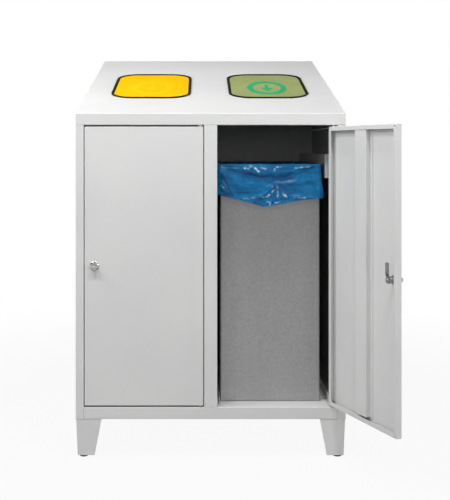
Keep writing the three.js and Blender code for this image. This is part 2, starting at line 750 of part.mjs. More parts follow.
// An angle under the hood, behind the opening's trim, that holds one end of the rod.
function flapBracket(sign) {
  const seat = -SHEET - GAP;
  const start = LID_OPENING_LENGTH / 2 + TRIM_UNDERLAP + BRACKET_TRIM_GAP;
  const end = start + BRACKET_LENGTH;
  const across = (width) => [BRACKET_SPREAD, BRACKET_SPREAD + width]
    .map((x) => sign * x)
    .sort((a, b) => a - b);
  const cheek = prismX(outline([
    [start, seat - BRACKET_SHEET],
    [FLAP_AXIS_ALONG - EAR_RADIUS, EAR_RADIUS - FLAP_AXIS_DROP],
    [FLAP_AXIS_ALONG - EAR_RADIUS, -EAR_RADIUS - FLAP_AXIS_DROP],
    [FLAP_AXIS_ALONG + EAR_RADIUS, -EAR_RADIUS - FLAP_AXIS_DROP],
    [end, seat - BRACKET_SHEET],
    [end, seat - BRACKET_ROOT],
    [start, seat - BRACKET_ROOT],
  ]), ...across(BRACKET_SHEET));
  const base = box(across(BRACKET_FOOT), [start, end], [seat - BRACKET_SHEET, seat]);
  return cut(join(cheek, base), rodHole());
}

// The coils of the return spring, as the sleeve that they fill round the rod.
function flapSpring() {
  const inner = FLAP_ROD_RADIUS + GAP;
  const half = SPRING_LENGTH / 2;
  return turned([
    [inner, -half],
    [SPRING_RADIUS, -half],
    [SPRING_RADIUS, half],
    [inner, half],
    [inner, -half],
  ]).rotateZ(-Math.PI / 2).translate(0, FLAP_AXIS_ALONG, -FLAP_AXIS_DROP);
}

function addFlap({ side, lidX }, cabinet) {
  const slope = new THREE.Group();
  slope.position.set(lidX, 0, HOOD_FRONT_TOP);
  slope.rotation.x = SLOPE;
  cabinet.add(slope);
  const opening = new THREE.Group();
  opening.position.set(0, LID_OPENING_MIDDLE, 0);
  slope.add(opening);
  piece(`${side}_opening_trim`, openingTrim(), BLACK_RUBBER, opening);
  piece(`${side}_flap`, flap(), side === 'left' ? YELLOW_PLASTIC : GREEN_PLASTIC, opening);
  piece(`${side}_flap_rod`, flapRod(), ZINC, opening);
  piece(`${side}_flap_spring`, flapSpring(), ZINC, opening);
  piece(`${side}_flap_left_bracket`, flapBracket(-1), ZINC, opening);
  piece(`${side}_flap_right_bracket`, flapBracket(1), ZINC, opening);
}

// ---- bins, bags and guides -------------------------------------------------------------------

function bin(x0, x1) {
  return cut(
    box([x0, x1], [BIN_FRONT_GAP, BIN_BACK], [BIN_BOTTOM, BIN_TOP]),
    box(
      [x0 + BIN_SHEET, x1 - BIN_SHEET],
      [BIN_FRONT_GAP + BIN_SHEET, BIN_BACK - BIN_SHEET],
      [BIN_BOTTOM + BIN_SHEET, BIN_TOP + BIN_SHEET],
    ),
  );
}

// The bag: a liner inside the bin and a cuff outside it, joined over the bin's rim.
function bag(x0, x1) {
  const block = (grow, z0, z1) => box(
    [x0 - grow, x1 + grow],
    [BIN_FRONT_GAP - grow, BIN_BACK + grow],
    [z0, z1],
  );
  const top = BIN_TOP + BAG_CLEARANCE + BAG_SHEET;
  const liner = -BIN_SHEET - BAG_CLEARANCE;
  const floor = BIN_BOTTOM + BIN_SHEET + BAG_CLEARANCE;
  const wall = cut(
    block(BAG_CLEARANCE, floor - CUT, BIN_TOP + BAG_CLEARANCE),
    block(liner, floor - 2 * CUT, BIN_TOP + BAG_CLEARANCE + CUT),
  );
  return cut(
    join(
      block(BAG_CLEARANCE + BAG_CUFF_SHEET, BIN_TOP - BAG_CUFF, top),
      block(liner, floor, top),
    ),
    wall,
    block(liner - BAG_SHEET, floor + BAG_SHEET, top + CUT),
  );
}

// The channel on the hinge side's wall that keeps the bin's rim clear of the door's swing.
function guideRail(face, wall) {
  const [z0, z1] = [BODY_TOP - RAIL_DROP - RAIL_HEIGHT, BODY_TOP - RAIL_DROP];
  const back = REAR_SEAT - RAIL_BACK_GAP;
  return cut(
    box([face, wall - GAP], [RAIL_FRONT, back], [z0, z1]),
    box([face + SHEET, wall + CUT], [RAIL_FRONT + SHEET, back + CUT], [z0 + SHEET, z1 - SHEET]),
  );
}

// An angle on the floor: it stands at one side of the bin and its foot reaches to the wall.
function floorGuide(face, wall) {
  const [y0, y1] = [GUIDE_FRONT, REAR_SEAT - RAIL_BACK_GAP];
  const floor = SILL_TOP + GAP;
  const inward = Math.sign(wall - face);
  const [low, high] = [Math.min(face, wall), Math.max(face, wall)];
  const [x0, x1] = inward > 0 ? [low, high - GAP] : [low + GAP, high];
  const clear = inward > 0 ? [x0 + SHEET, x1 + CUT] : [x0 - CUT, x1 - SHEET];
  return cut(
    box([x0, x1], [y0, y1], [floor, floor + GUIDE_HEIGHT]),
    box(clear, [y0 - CUT, y1 + CUT], [floor + SHEET, floor + GUIDE_HEIGHT + CUT]),
  );
}

function addBin({ side, openingLeft, wallLeft, wallRight }, cabinet) {
  const x0 = openingLeft + BIN_NEAR_GAP;
  const x1 = x0 + BIN_WIDTH;
  const openingRight = openingLeft + OPENING_WIDTH;
  const rail = guideRail(openingRight - RAIL_SETBACK, wallRight);
  const hingeSide = floorGuide(openingRight - GUIDE_SETBACK, wallRight);
  const latchSide = floorGuide(x0 - GUIDE_BIN_GAP, wallLeft);
  piece(`${side}_bin`, bin(x0, x1), GALVANISED, cabinet);
  piece(`${side}_bag`, bag(x0, x1), BLUE_FILM, cabinet);
  piece(`${side}_guide_rail`, rail, POWDER_COAT, cabinet);
  piece(`${side}_hinge_side_guide`, hingeSide, POWDER_COAT, cabinet);
  piece(`${side}_latch_side_guide`, latchSide, POWDER_COAT, cabinet);
}

// ---- assembly --------------------------------------------------------------------------------

const recyclingBin = new THREE.Group();
const cabinet = new THREE.Group();
recyclingBin.add(cabinet);

addBody(cabinet);
for (const compartment of COMPARTMENTS) {
  addDoor(compartment, cabinet);
  addFlap(compartment, cabinet);
  addBin(compartment, cabinet);
}

// The origin is the middle of the underside of the box round the whole object, open door included.
recyclingBin.updateMatrixWorld(true);
const bounds = new THREE.Box3().setFromObject(recyclingBin, true);
const middle = bounds.getCenter(new THREE.Vector3());
cabinet.position.set(-middle.x, -middle.y, 0);

export default recyclingBin;
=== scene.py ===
import math

import bmesh
import bpy
from mathutils import Matrix, Vector, noise


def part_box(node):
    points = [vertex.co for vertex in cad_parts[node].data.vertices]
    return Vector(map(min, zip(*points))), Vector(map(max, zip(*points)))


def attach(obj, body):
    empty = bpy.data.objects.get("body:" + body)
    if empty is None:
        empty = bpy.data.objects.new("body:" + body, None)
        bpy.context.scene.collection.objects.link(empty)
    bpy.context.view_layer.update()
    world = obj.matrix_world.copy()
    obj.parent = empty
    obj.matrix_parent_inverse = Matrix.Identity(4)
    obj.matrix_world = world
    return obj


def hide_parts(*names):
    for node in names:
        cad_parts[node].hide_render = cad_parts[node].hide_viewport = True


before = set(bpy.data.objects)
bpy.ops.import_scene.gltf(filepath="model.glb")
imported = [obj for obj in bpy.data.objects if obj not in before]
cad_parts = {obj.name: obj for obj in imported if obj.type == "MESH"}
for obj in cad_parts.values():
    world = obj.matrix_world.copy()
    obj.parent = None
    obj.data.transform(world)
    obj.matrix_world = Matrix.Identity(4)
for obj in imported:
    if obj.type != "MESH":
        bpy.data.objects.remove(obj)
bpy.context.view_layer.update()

# ---- camera ----------------------------------------------------------------------------------

camera = bpy.data.cameras.new("camera")
camera.lens = 65.95
camera.sensor_width = 36
camera.shift_x = 0.048
camera.shift_y = -0.2012
stand = bpy.data.objects.new("camera", camera)
stand.location = (-0.0721, -2.5942, 0.799)
stand.rotation_euler = (math.radians(90), 0, 0)
bpy.context.scene.collection.objects.link(stand)
bpy.context.scene.camera = stand

# ---- sizes in millimetres, from the middle of the cabinet's front at floor level ---------------

WIDTH = 700
DEPTH = 720
BODY_BOTTOM = 100
SILL_TOP = 131
BODY_TOP = 862
HOOD_FRONT_TOP = 893
HOOD_BACK_TOP = 1097
SHEET = 1.2
GAP = 0.3
STILE = 21
POST = 34
FRAME_DEPTH = 16
FLANGE = 14
REAR_FLANGE = 20
PANEL_TOP = BODY_TOP
REAR_SEAT = DEPTH - SHEET - GAP
SIDE_SEAT = WIDTH / 2 - SHEET - GAP
SLOPE = math.atan2(HOOD_BACK_TOP - HOOD_FRONT_TOP, DEPTH)

DOOR_LEFT = -327
DOOR_RIGHT = -19
DOOR_BOTTOM = 135
DOOR_TOP = 858
DOOR_THICKNESS = 15
DOOR_LIP = 11
LIP_HOLE_RADIUS = 2
HAT_WIDTH = 71
HAT_CROWN = 50
PIVOT_X = -27
PIVOT_Y = 4.5
RIGHT_DOOR_OPEN = 112
COMPARTMENT_STEP = 346
LATCH_X = DOOR_LEFT + 26
LATCH_Z = (DOOR_BOTTOM + DOOR_TOP) / 2
HOUSING_REACH = 19
THREAD_TURNS = 17
CAM_WIDTH = 13

LID_X = 166.5
LID_WIDTH = 218
LID_LENGTH = 322
LID_MIDDLE = 338
LID_RADIUS = 60
ROD_Y = 165
ROD_Z = -12
ROD_RADIUS = 4
ROD_LENGTH = 118
FLAP_GAP = 4
WEB_X = 40

BIN_LEFT = -320
BIN_RIGHT = -56
BIN_FRONT = 58
BIN_BACK = 602
BIN_BOTTOM = SILL_TOP + GAP
BIN_TOP = 759
BIN_SHEET = 1
RIVETS_X = (BIN_LEFT + 39, BIN_LEFT + 221)
RIVETS_Z = 140
BAG_CORNER = 4

post_low, post_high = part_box("centre_post")
FRONT_MIDDLE = Vector(((post_low.x + post_high.x) / 2, post_low.y, 0))
CABINET = Matrix.Translation(FRONT_MIDDLE) @ Matrix.Scale(0.001, 4)
RIGHT_DOOR = (
    Matrix.Translation((PIVOT_X + COMPARTMENT_STEP, PIVOT_Y, 0))
    @ Matrix.Rotation(math.radians(RIGHT_DOOR_OPEN), 4, "Z")
    @ Matrix.Translation((-PIVOT_X, -PIVOT_Y, 0))
)
RIGHT_COMPARTMENT = Matrix.Translation((COMPARTMENT_STEP, 0, 0))
LATCH = Matrix.Translation((LATCH_X, 0, LATCH_Z)) @ Matrix.Rotation(math.radians(-90), 4, "X")
# Across, up the slope and square to it, from the middle of an opening in the hood's top face.
LEFT_LID = (
    Matrix.Translation((-LID_X, 0, HOOD_FRONT_TOP))
    @ Matrix.Rotation(SLOPE, 4, "X")
    @ Matrix.Translation((0, LID_MIDDLE, 0))
)
RIGHT_LID_STEP = Matrix.Translation((2 * LID_X, 0, 0))

# ---- materials -------------------------------------------------------------------------------


def new_finish(name, roughness, metallic=0.0, **constants):
    finish = bpy.data.materials.new(name)
    finish.use_nodes = True
    shader = finish.node_tree.nodes["Principled BSDF"]
    shader.inputs["Roughness"].default_value = roughness
    shader.inputs["Metallic"].default_value = metallic
    for socket, value in constants.items():
        shader.inputs[socket.replace("_", " ")].default_value = value
    return finish, shader


def add(finish, kind, links=None, **settings):
    """A new node; links gives its inputs a value or another node's output."""
    made = finish.node_tree.nodes.new(kind)
    for key, value in settings.items():
        setattr(made, key, value)
    for socket, value in (links or {}).items():
        if isinstance(value, bpy.types.NodeSocket):
            finish.node_tree.links.new(value, made.inputs[socket])
        else:
            made.inputs[socket].default_value = value
    return made


def place(finish, stretch=(1, 1, 1), turn=(0, 0, 0)):
    """Object coordinates in metres, stretched and turned."""
    coordinates = add(finish, "ShaderNodeTexCoord")
    mapping = add(finish, "ShaderNodeMapping", {"Vector": coordinates.outputs["Object"]})
    mapping.inputs["Scale"].default_value = stretch
    mapping.inputs["Rotation"].default_value = turn
    return mapping.outputs["Vector"]


def grain(finish, vector, scale, detail=3, rough=0.5, distortion=0):
    made = add(finish, "ShaderNodeTexNoise", {
        "Vector": vector, "Scale": scale, "Detail": detail, "Roughness": rough, "Distortion": distortion,
    })
    return made.outputs["Fac"]


def ramp(finish, factor, *stops):
    made = add(finish, "ShaderNodeValToRGB", {"Fac": factor})
    elements = made.color_ramp.elements
    for (position, colour), element in zip(stops[:2], elements):
        element.position = position
        element.color = (*colour, 1)
    for position, colour in stops[2:]:
        elements.new(position).color = (*colour, 1)
    return made.outputs["Color"]


def between(finish, factor, low, high):
    made = add(finish, "ShaderNodeMapRange", {"Value": factor, "To Min": low, "To Max": high})
    made.inputs["From Min"].default_value = 0.3
    made.inputs["From Max"].default_value = 0.7
    return made.outputs["Result"]


def mix(finish, kind, amount, a, b):
    made = add(finish, "ShaderNodeMix", data_type="RGBA", blend_type=kind)
    for socket, value in zip(("Factor", "A", "B"), (amount, a, b)):
        target = [i for i in made.inputs if i.name == socket and i.enabled][0]
        if isinstance(value, bpy.types.NodeSocket):
            finish.node_tree.links.new(value, target)
        else:
            target.default_value = value
    return [o for o in made.outputs if o.enabled][0]


def relief(finish, shader, *heights):
    """Bumps laid over each other: each is a height from 0 to 1 and its depth in metres."""
    normal = None
    for height, depth in heights:
        made = add(finish, "ShaderNodeBump", {"Height": height, "Distance": depth})
        made.inputs["Strength"].default_value = 1
        if normal is not None:
            finish.node_tree.links.new(normal, made.inputs["Normal"])
        normal = made.outputs["Normal"]
    finish.node_tree.links.new(normal, shader.inputs["Normal"])


def connect(finish, shader, **sockets):
    for socket, value in sockets.items():
        finish.node_tree.links.new(value, shader.inputs[socket.replace("_", " ")])


def powder_coat():
    """Light grey powder coat: a fine orange-peel skin with a slightly uneven tone and sheen."""
    finish, shader = new_finish("light_grey_powder_coat", 0.42)
    here = place(finish)
    clouds = grain(finish, here, 5, 3)
    specks = grain(finish, here, 1100, 1)
    tone = ramp(finish, clouds, (0.3, (0.640, 0.648, 0.640)), (0.7, (0.680, 0.684, 0.674)))
    speck = ramp(finish, specks, (0.35, (0.955, 0.955, 0.955)), (0.65, (1, 1, 1)))
    connect(
        finish, shader,
        Base_Color=mix(finish, "MULTIPLY", 1, tone, speck),
        Roughness=between(finish, grain(finish, here, 28, 4), 0.36, 0.48),
    )
    relief(
        finish, shader,
        (grain(finish, here, 3.2, 2), 0.0011),
        (grain(finish, here, 620, 2), 0.00004),
    )
    return finish


def galvanised_steel():
    """Bare galvanised sheet with painted light low down and painted shade near the top: crystal patches,
    rolling lines, handling marks.
    """
    finish, shader = new_finish("galvanised_steel", 0.42, 0.85)
    here = place(finish)
    patches = add(finish, "ShaderNodeTexVoronoi", {"Vector": here, "Scale": 210, "Randomness": 1})
    crystal = add(finish, "ShaderNodeSeparateColor", {"Color": patches.outputs["Color"]})
    lines = grain(finish, place(finish, (26, 26, 1)), 26, 4, 0.6)
    marks = grain(finish, place(finish, (1.8, 1.8, 0.6)), 5, 5, 0.55)
    tone = ramp(finish, marks, (0.3, (0.268, 0.268, 0.270)), (0.7, (0.302, 0.302, 0.304)))
    # Painted light and shade: the tone is raised low down, a painted reflection of the floor, and lowered
    # near the top, painted shade under the hood.
    height = add(finish, "ShaderNodeSeparateXYZ", {0: here})
    rise = add(finish, "ShaderNodeMapRange", {
        "Value": height.outputs["Z"], "From Min": 0.15, "From Max": 0.70, "To Min": 0, "To Max": 1,
    })
    painted_light_by_height = ramp(finish, rise.outputs["Result"], (0, (1.48, 1.48, 1.48)), (1, (0.76, 0.76, 0.765)))
    tone = mix(finish, "MULTIPLY", 1, tone, painted_light_by_height)
    sparkle = ramp(finish, crystal.outputs[0], (0, (0.93, 0.93, 0.93)), (1, (1.05, 1.05, 1.05)))
    rolled = ramp(finish, lines, (0.3, (0.955, 0.955, 0.955)), (0.7, (1.03, 1.03, 1.03)))
    colour = mix(finish, "MULTIPLY", 1, tone, sparkle)
    connect(
        finish, shader,
        Base_Color=mix(finish, "MULTIPLY", 1, colour, rolled),
        Roughness=between(finish, marks, 0.38, 0.46),
    )
    relief(
        finish, shader,
        (grain(finish, here, 3, 2), 0.0010),
        (lines, 0.00001),
        (crystal.outputs[1], 0.00001),
    )
    return finish


def plated(name, tone_low, tone_high, rough_low, rough_high):
    """Bright or dull plating, smudged by hands and lightly scratched."""
    finish, shader = new_finish(name, rough_low, 1.0)
    here = place(finish)
    smudges = grain(finish, here, 120, 4, 0.6)
    scratches = grain(finish, place(finish, (1, 1, 9), (0.4, 0.9, 0.2)), 700, 2)
    connect(
        finish, shader,
        Base_Color=ramp(finish, smudges, (0.3, tone_low), (0.7, tone_high)),
        Roughness=between(finish, smudges, rough_low, rough_high),
    )
    relief(finish, shader, (scratches, 0.00002))
    return finish


def moulded(name, tone_low, tone_high, rough_low, rough_high, shine=0.5, texture=0.00001):
    """Moulded plastic or rubber with a fine skin."""
    finish, shader = new_finish(name, rough_low, Specular_IOR_Level=shine)
    here = place(finish)
    connect(
        finish, shader,
        Base_Color=ramp(finish, grain(finish, here, 14, 4), (0.3, tone_low), (0.7, tone_high)),
        Roughness=between(finish, grain(finish, here, 45, 3), rough_low, rough_high),
    )
    relief(finish, shader, (grain(finish, here, 900, 2), texture))
    return finish


def blue_film():
    """Thin glossy bag film: deeper blue where it lies double and, as painted shade, where it sags and
    folds; painted glints, milky, along its sharp creases.
    """
    finish, shader = new_finish("blue_bag_film", 0.2, Specular_IOR_Level=0.2)
    here = place(finish)
    layers = grain(finish, place(finish, (1, 1, 1.8)), 16, 4, 0.6, 0.6)
    stretch = grain(finish, place(finish, (1, 1, 4)), 90, 3, 0.6, 1.2)
    tone = ramp(
        finish, layers,
        (0.28, (0.001, 0.070, 0.205)), (0.72, (0.006, 0.185, 0.420)), (0.5, (0.002, 0.128, 0.310)),
    )
    # Painted glints and painted shade, carried in a point attribute of the film's mesh.
    painted_glint_and_shade = add(finish, "ShaderNodeAttribute", attribute_name="painted_glint_and_shade").outputs["Fac"]
    painted_glint_strength = add(finish, "ShaderNodeMath", {
        0: painted_glint_and_shade, 1: between(finish, grain(finish, here, 150, 2), 0.2, 1.45),
    }, operation="MULTIPLY")
    painted_shade_amount = add(finish, "ShaderNodeMapRange", {
        "Value": painted_glint_and_shade, "From Min": 0, "From Max": -1, "To Min": 0, "To Max": 1,
    })
    painted_glint_amount = add(finish, "ShaderNodeMapRange", {
        "Value": painted_glint_strength.outputs[0], "From Min": 0.05, "From Max": 1.0, "To Min": 0, "To Max": 1,
    })
    painted_glint_sharpened = add(finish, "ShaderNodeMath", {0: painted_glint_amount.outputs["Result"], 1: 1.7}, operation="POWER")
    # Painted shade: deeper blue below 0. Painted glints: milky blue above 0.
    tone = mix(finish, "MULTIPLY", painted_shade_amount.outputs["Result"], tone, (0.40, 0.52, 0.60, 1))
    tone = mix(finish, "MIX", painted_glint_sharpened.outputs[0], tone, (0.64, 0.76, 0.94, 1))
    connect(
        finish, shader,
        Base_Color=tone,
        Roughness=between(finish, grain(finish, here, 30, 3), 0.12, 0.26),
    )
    relief(finish, shader, (stretch, 0.0005), (grain(finish, here, 420, 2), 0.00004))
    return finish


PAINT = powder_coat()
GALVANISED = galvanised_steel()
CHROME = plated("chrome", (0.44, 0.44, 0.45), (0.56, 0.56, 0.57), 0.12, 0.20)
ZINC = plated("zinc_plate", (0.30, 0.30, 0.29), (0.46, 0.46, 0.45), 0.26, 0.42)
RUBBER = moulded("black_edge_rubber", (0.010, 0.010, 0.009), (0.020, 0.019, 0.016), 0.45, 0.60, 0.10)
BLACK = moulded("black_plastic", (0.010, 0.010, 0.011), (0.018, 0.018, 0.019), 0.40, 0.55)
YELLOW = moulded("yellow_plastic", (0.820, 0.430, 0.001), (0.870, 0.470, 0.002), 0.36, 0.46, 0.01)
GREEN = moulded("olive_green_plastic", (0.262, 0.300, 0.115), (0.300, 0.342, 0.138), 0.30, 0.42, 0.05)
YELLOW_PRINT = moulded("light_yellow_print", (0.850, 0.475, 0.004), (0.895, 0.510, 0.006), 0.36, 0.46, 0.01)
GREEN_PRINT = moulded("bright_green_print", (0.012, 0.330, 0.120), (0.020, 0.400, 0.150), 0.3, 0.4, 0.05)
FILM = blue_film()

CAD_FINISHES = {
    "powder_coat": PAINT, "galvanised_steel": GALVANISED, "chrome": CHROME, "zinc": ZINC,
    "edge_rubber": RUBBER, "black_plastic": BLACK, "yellow_plastic": YELLOW,
    "green_plastic": GREEN, "blue_film": FILM,
}

# ---- modelling helpers: one unit is a millimetre until settle() puts a piece in its place ------


def only(obj):
    bpy.ops.object.select_all(action="DESELECT")
    obj.select_set(True)
    bpy.context.view_layer.objects.active = obj


def edit(obj, kind, test):
    """Opens a piece for editing with only the parts selected that pass a test."""
    only(obj)
    bpy.ops.object.mode_set(mode="EDIT")
    bpy.ops.mesh.select_mode(type=kind)
    bpy.ops.mesh.select_all(action="DESELECT")
    mesh = bmesh.from_edit_mesh(obj.data)
    for part in {"VERT": mesh.verts, "EDGE": mesh.edges, "FACE": mesh.faces}[kind]:
        if test(part):
            part.select_set(True)
    mesh.select_flush_mode()
    bmesh.update_edit_mesh(obj.data)


def close_edit():
    bpy.ops.object.mode_set(mode="OBJECT")


def modify(obj, kind, **settings):
    only(obj)
    made = obj.modifiers.new(kind, kind)
    for key, value in settings.items():
        setattr(made, key, value)
    bpy.ops.object.modifier_apply(modifier=made.name)


def apply_place(obj):
    only(obj)
    bpy.ops.object.transform_apply(location=True, rotation=True, scale=True)


def middle(part):
    return sum((v.co for v in part.verts), Vector()) / len(part.verts)


def block(name, low, high):
    low, high = Vector(low), Vector(high)
    bpy.ops.object.select_all(action="DESELECT")
    bpy.ops.mesh.primitive_cube_add(size=1, location=(low + high) / 2, scale=high - low)
    obj = bpy.context.active_object
    obj.name = name
    apply_place(obj)
    return obj


def folded(name, folds, along):
    """A sheet without thickness, drawn out from fold to fold; along is the way its folds run."""
    folds = [Vector(p) for p in folds]
    along = Vector(along)
    first = folds[1] - folds[0]
    x, y = first.normalized(), along.normalized()
    turn = Matrix((x, y, x.cross(y))).transposed().to_4x4()
    bpy.ops.object.select_all(action="DESELECT")
    bpy.ops.mesh.primitive_plane_add(size=1)
    obj = bpy.context.active_object
    obj.name = name
    obj.matrix_world = (
        Matrix.Translation((folds[0] + folds[1] + along) / 2)
        @ turn
        @ Matrix.Diagonal((first.length, along.length, 1, 1))
    )
    apply_place(obj)
    for here, there in zip(folds[1:], folds[2:]):
        def on_fold(edge):
            return all((v.co - here).cross(y).length < 0.01 for v in edge.verts)
        edit(obj, "EDGE", on_fold)
        bpy.ops.mesh.extrude_region_move(TRANSFORM_OT_translate={"value": there - here})
        close_edit()
    return obj


def ease(obj, width=0.25, angle=50, segments=2):
    modify(
        obj, "BEVEL", width=width, segments=segments, limit_method="ANGLE",
        angle_limit=math.radians(angle), use_clamp_overlap=True,
    )


def as_sheet(obj, thickness=SHEET, bend=1.6, inward=-1):
    """Rounds the folds, gives the sheet its thickness inwards and eases its cut edges."""
    ease(obj, bend, 20, 3)
    modify(obj, "SOLIDIFY", thickness=thickness, offset=inward, use_even_offset=True)
    ease(obj, 0.2, 60, 1)
    return obj


def cut(obj, cutter):
    """Takes a cutter's shape out of a piece and deletes the cutter."""
    modify(obj, "BOOLEAN", object=cutter, operation="DIFFERENCE", solver="EXACT")
    bpy.data.objects.remove(cutter)


def join(name, *objs):
    """Makes one piece of several that are fixed to each other."""
    bpy.ops.object.select_all(action="DESELECT")
    for obj in objs:
        obj.select_set(True)
    bpy.context.view_layer.objects.active = objs[0]
    bpy.ops.object.join()
    objs[0].name = name
    return objs[0]


def turned(name, stations, sides=48):
    """A round piece: a disc drawn out along Z and resized at each station of (radius, height)."""
    (radius, height), *rest = stations
    bpy.ops.object.select_all(action="DESELECT")
    bpy.ops.mesh.primitive_circle_add(
        vertices=sides, radius=radius, fill_type="NGON", location=(0, 0, height)
    )
    obj = bpy.context.active_object
    obj.name = name
    apply_place(obj)
    edit(obj, "FACE", lambda face: True)
    for next_radius, next_height in rest:
        bpy.ops.mesh.extrude_region_move(
            TRANSFORM_OT_translate={"value": (0, 0, next_height - height)}
        )
        share = next_radius / radius
        bpy.ops.transform.resize(value=(share, share, 1), center_override=(0, 0, next_height))
        radius, height = next_radius, next_height
    bpy.ops.mesh.select_all(action="SELECT")
    bpy.ops.mesh.normals_make_consistent(inside=False)
    close_edit()
    return obj


def rounded_block(name, width, length, radius, low, high, segments=12):
    obj = block(name, (-width / 2, -length / 2, low), (width / 2, length / 2, high))
    edit(obj, "EDGE", lambda e: abs(e.verts[0].co.z - e.verts[1].co.z) > (high - low) / 2)
    bpy.ops.mesh.bevel(offset=radius, segments=segments, affect="EDGES")
    close_edit()
    return obj


def ring(name, width, length, radius, wall, low, high, segments=12):
    """A rounded block opened from end to end, so that a wall is left."""
    obj = rounded_block(name, width, length, radius, low, high, segments)
    edit(obj, "FACE", lambda f: abs(f.normal.z) > 0.9)
    bpy.ops.mesh.inset(thickness=wall, depth=0, use_even_offset=True)
    bpy.ops.mesh.bridge_edge_loops()
    bpy.ops.mesh.select_all(action="SELECT")
    bpy.ops.mesh.normals_make_consistent(inside=False)
    close_edit()
    return obj


def settle(obj, finish, body, replaced=(), where=CABINET, smooth=38):
    """Puts a finished piece in its place, gives it its material and lets it ride on its body."""
    obj.matrix_world = where @ obj.matrix_world
    apply_place(obj)
    only(obj)
    bpy.ops.object.shade_smooth_by_angle(angle=math.radians(smooth))
    modify(obj, "WEIGHTED_NORMAL", keep_sharp=True)
    obj.data.materials.clear()
    obj.data.materials.append(finish)
    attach(obj, body)
    if replaced:
        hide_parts(*replaced)
    return obj


def copy_of(obj, name, move=None):
    """Another piece of the same shape with its own mesh, moved while its unit is a millimetre."""
    made = bpy.data.objects.new(name, obj.data.copy())
    bpy.context.scene.collection.objects.link(made)
    if move is not None:
        made.matrix_world = move
        apply_place(made)
    return made


def mirror_of(obj, name, move):
    """A mirrored piece with its own mesh and its faces turned outwards again."""
    made = copy_of(obj, name, move)
    edit(made, "FACE", lambda f: True)
    bpy.ops.mesh.normals_make_consistent(inside=False)
    close_edit()
    return made


def moved(obj, move):
    obj.matrix_world = move
    apply_place(obj)
    return obj


def settle_both(obj, part, finish, move, body="root", nodes=(), where=CABINET):
    """Settles a left piece and its right copy; {} in a body or node stands for the side."""
    right = copy_of(obj, f"right_{part}", move)
    obj.name = f"left_{part}"
    for side, piece in (("left", obj), ("right", right)):
        settle(piece, finish, body.format(side), [n.format(side) for n in nodes], where)


def refined(name, node, width=0.0003):
    """A copy of a small CAD piece with its facets merged and its edges eased, in metres."""
    made = bpy.data.objects.new(name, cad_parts[node].data.copy())
    bpy.context.scene.collection.objects.link(made)
    edit(made, "VERT", lambda v: True)
    bpy.ops.mesh.remove_doubles(threshold=0.00001)
    bpy.ops.mesh.dissolve_limited(angle_limit=math.radians(1))
    close_edit()
    ease(made, width, 50, 2)
    return made


# ---- cabinet body ----------------------------------------------------------------------------

MIRROR_X = Matrix.Diagonal((-1, 1, 1, 1))
MIRROR_Y = Matrix.Translation((0, DEPTH, 0)) @ Matrix.Diagonal((1, -1, 1, 1))


def side_sheet():
    left = -WIDTH / 2
    return as_sheet(folded("left_side_sheet", [
        (left + REAR_FLANGE, DEPTH, BODY_BOTTOM),
        (left, DEPTH, BODY_BOTTOM),
        (left, 0, BODY_BOTTOM),
        (left + STILE, 0, BODY_BOTTOM),
        (left + STILE, FRAME_DEPTH, BODY_BOTTOM),
    ], (0, 0, PANEL_TOP - BODY_BOTTOM)))


def back_sheet():
    x, y, z = SIDE_SEAT, REAR_SEAT, SILL_TOP + GAP
    folds = [(x, y - FLANGE, z), (x, y, z), (-x, y, z), (-x, y - FLANGE, z)]
    return as_sheet(folded("back_sheet", folds, (0, 0, PANEL_TOP - z)))


def centre_post():
    x, z = POST / 2, SILL_TOP + GAP
    folds = [(-x, FRAME_DEPTH, z), (-x, 0, z), (x, 0, z), (x, FRAME_DEPTH, z)]
    return as_sheet(folded("folded_centre_post", folds, (0, 0, PANEL_TOP - z)))


def partition_sheet():
    rear, front, z = REAR_SEAT - SHEET - GAP, SHEET + GAP, SILL_TOP + GAP
    folds = [(-SHEET / 2, rear, z), (-SHEET / 2, front, z)]
    return as_sheet(folded("partition_sheet", folds, (0, 0, PANEL_TOP - z)))


def open_underside(obj, flange):
    """Opens a block below, leaving a flange all round."""
    edit(obj, "FACE", lambda f: f.normal.z < -0.9)
    bpy.ops.mesh.inset(thickness=flange, depth=0)
    bpy.ops.mesh.delete(type="FACE")
    close_edit()


def floor_tray():
    """The floor and its sill, with its front corners notched round the stiles."""
    obj = block("floor_tray", (-SIDE_SEAT, 0, BODY_BOTTOM), (SIDE_SEAT, REAR_SEAT, SILL_TOP))
    open_underside(obj, FLANGE)
    as_sheet(obj)
    notch = WIDTH / 2 - STILE - GAP
    for x0, x1 in ((-WIDTH, -notch), (notch, WIDTH)):
        cut(obj, block("notch", (x0, -DEPTH, 0), (x1, FRAME_DEPTH + GAP, BODY_TOP)))
    return obj


def sloping_hood():
    """A block with its front lowered, opened below, folded from sheet and pierced for the lids."""
    x = WIDTH / 2
    obj = block("sloping_hood", (-x, 0, BODY_TOP), (x, DEPTH, HOOD_BACK_TOP))
    edit(obj, "VERT", lambda v: v.co.y < 1 and v.co.z > HOOD_BACK_TOP - 1)
    bpy.ops.transform.translate(value=(0, 0, HOOD_FRONT_TOP - HOOD_BACK_TOP))
    close_edit()
    open_underside(obj, FLANGE + SHEET)
    as_sheet(obj, bend=1.8)
    for step in (Matrix(), RIGHT_LID_STEP):
        lid = rounded_block("lid_opening", LID_WIDTH, LID_LENGTH, LID_RADIUS, -20, 20, 14)
        cut(obj, moved(lid, LEFT_LID @ step))
    return obj


# A foot reaches from the first of each pair to the second, measured from the cabinet's corner.
FOOT_TOP = (1, 67)
FOOT_BOTTOM = (4.5, 48.5)
FOOT_SHEET = 2.5
FOOT_LOW = 5.3
FOOT_HIGH = BODY_BOTTOM - GAP
GLIDE_SEAT = (7, 34)
GLIDE_PLACE = (19.5 - WIDTH / 2, 19.5, 0)


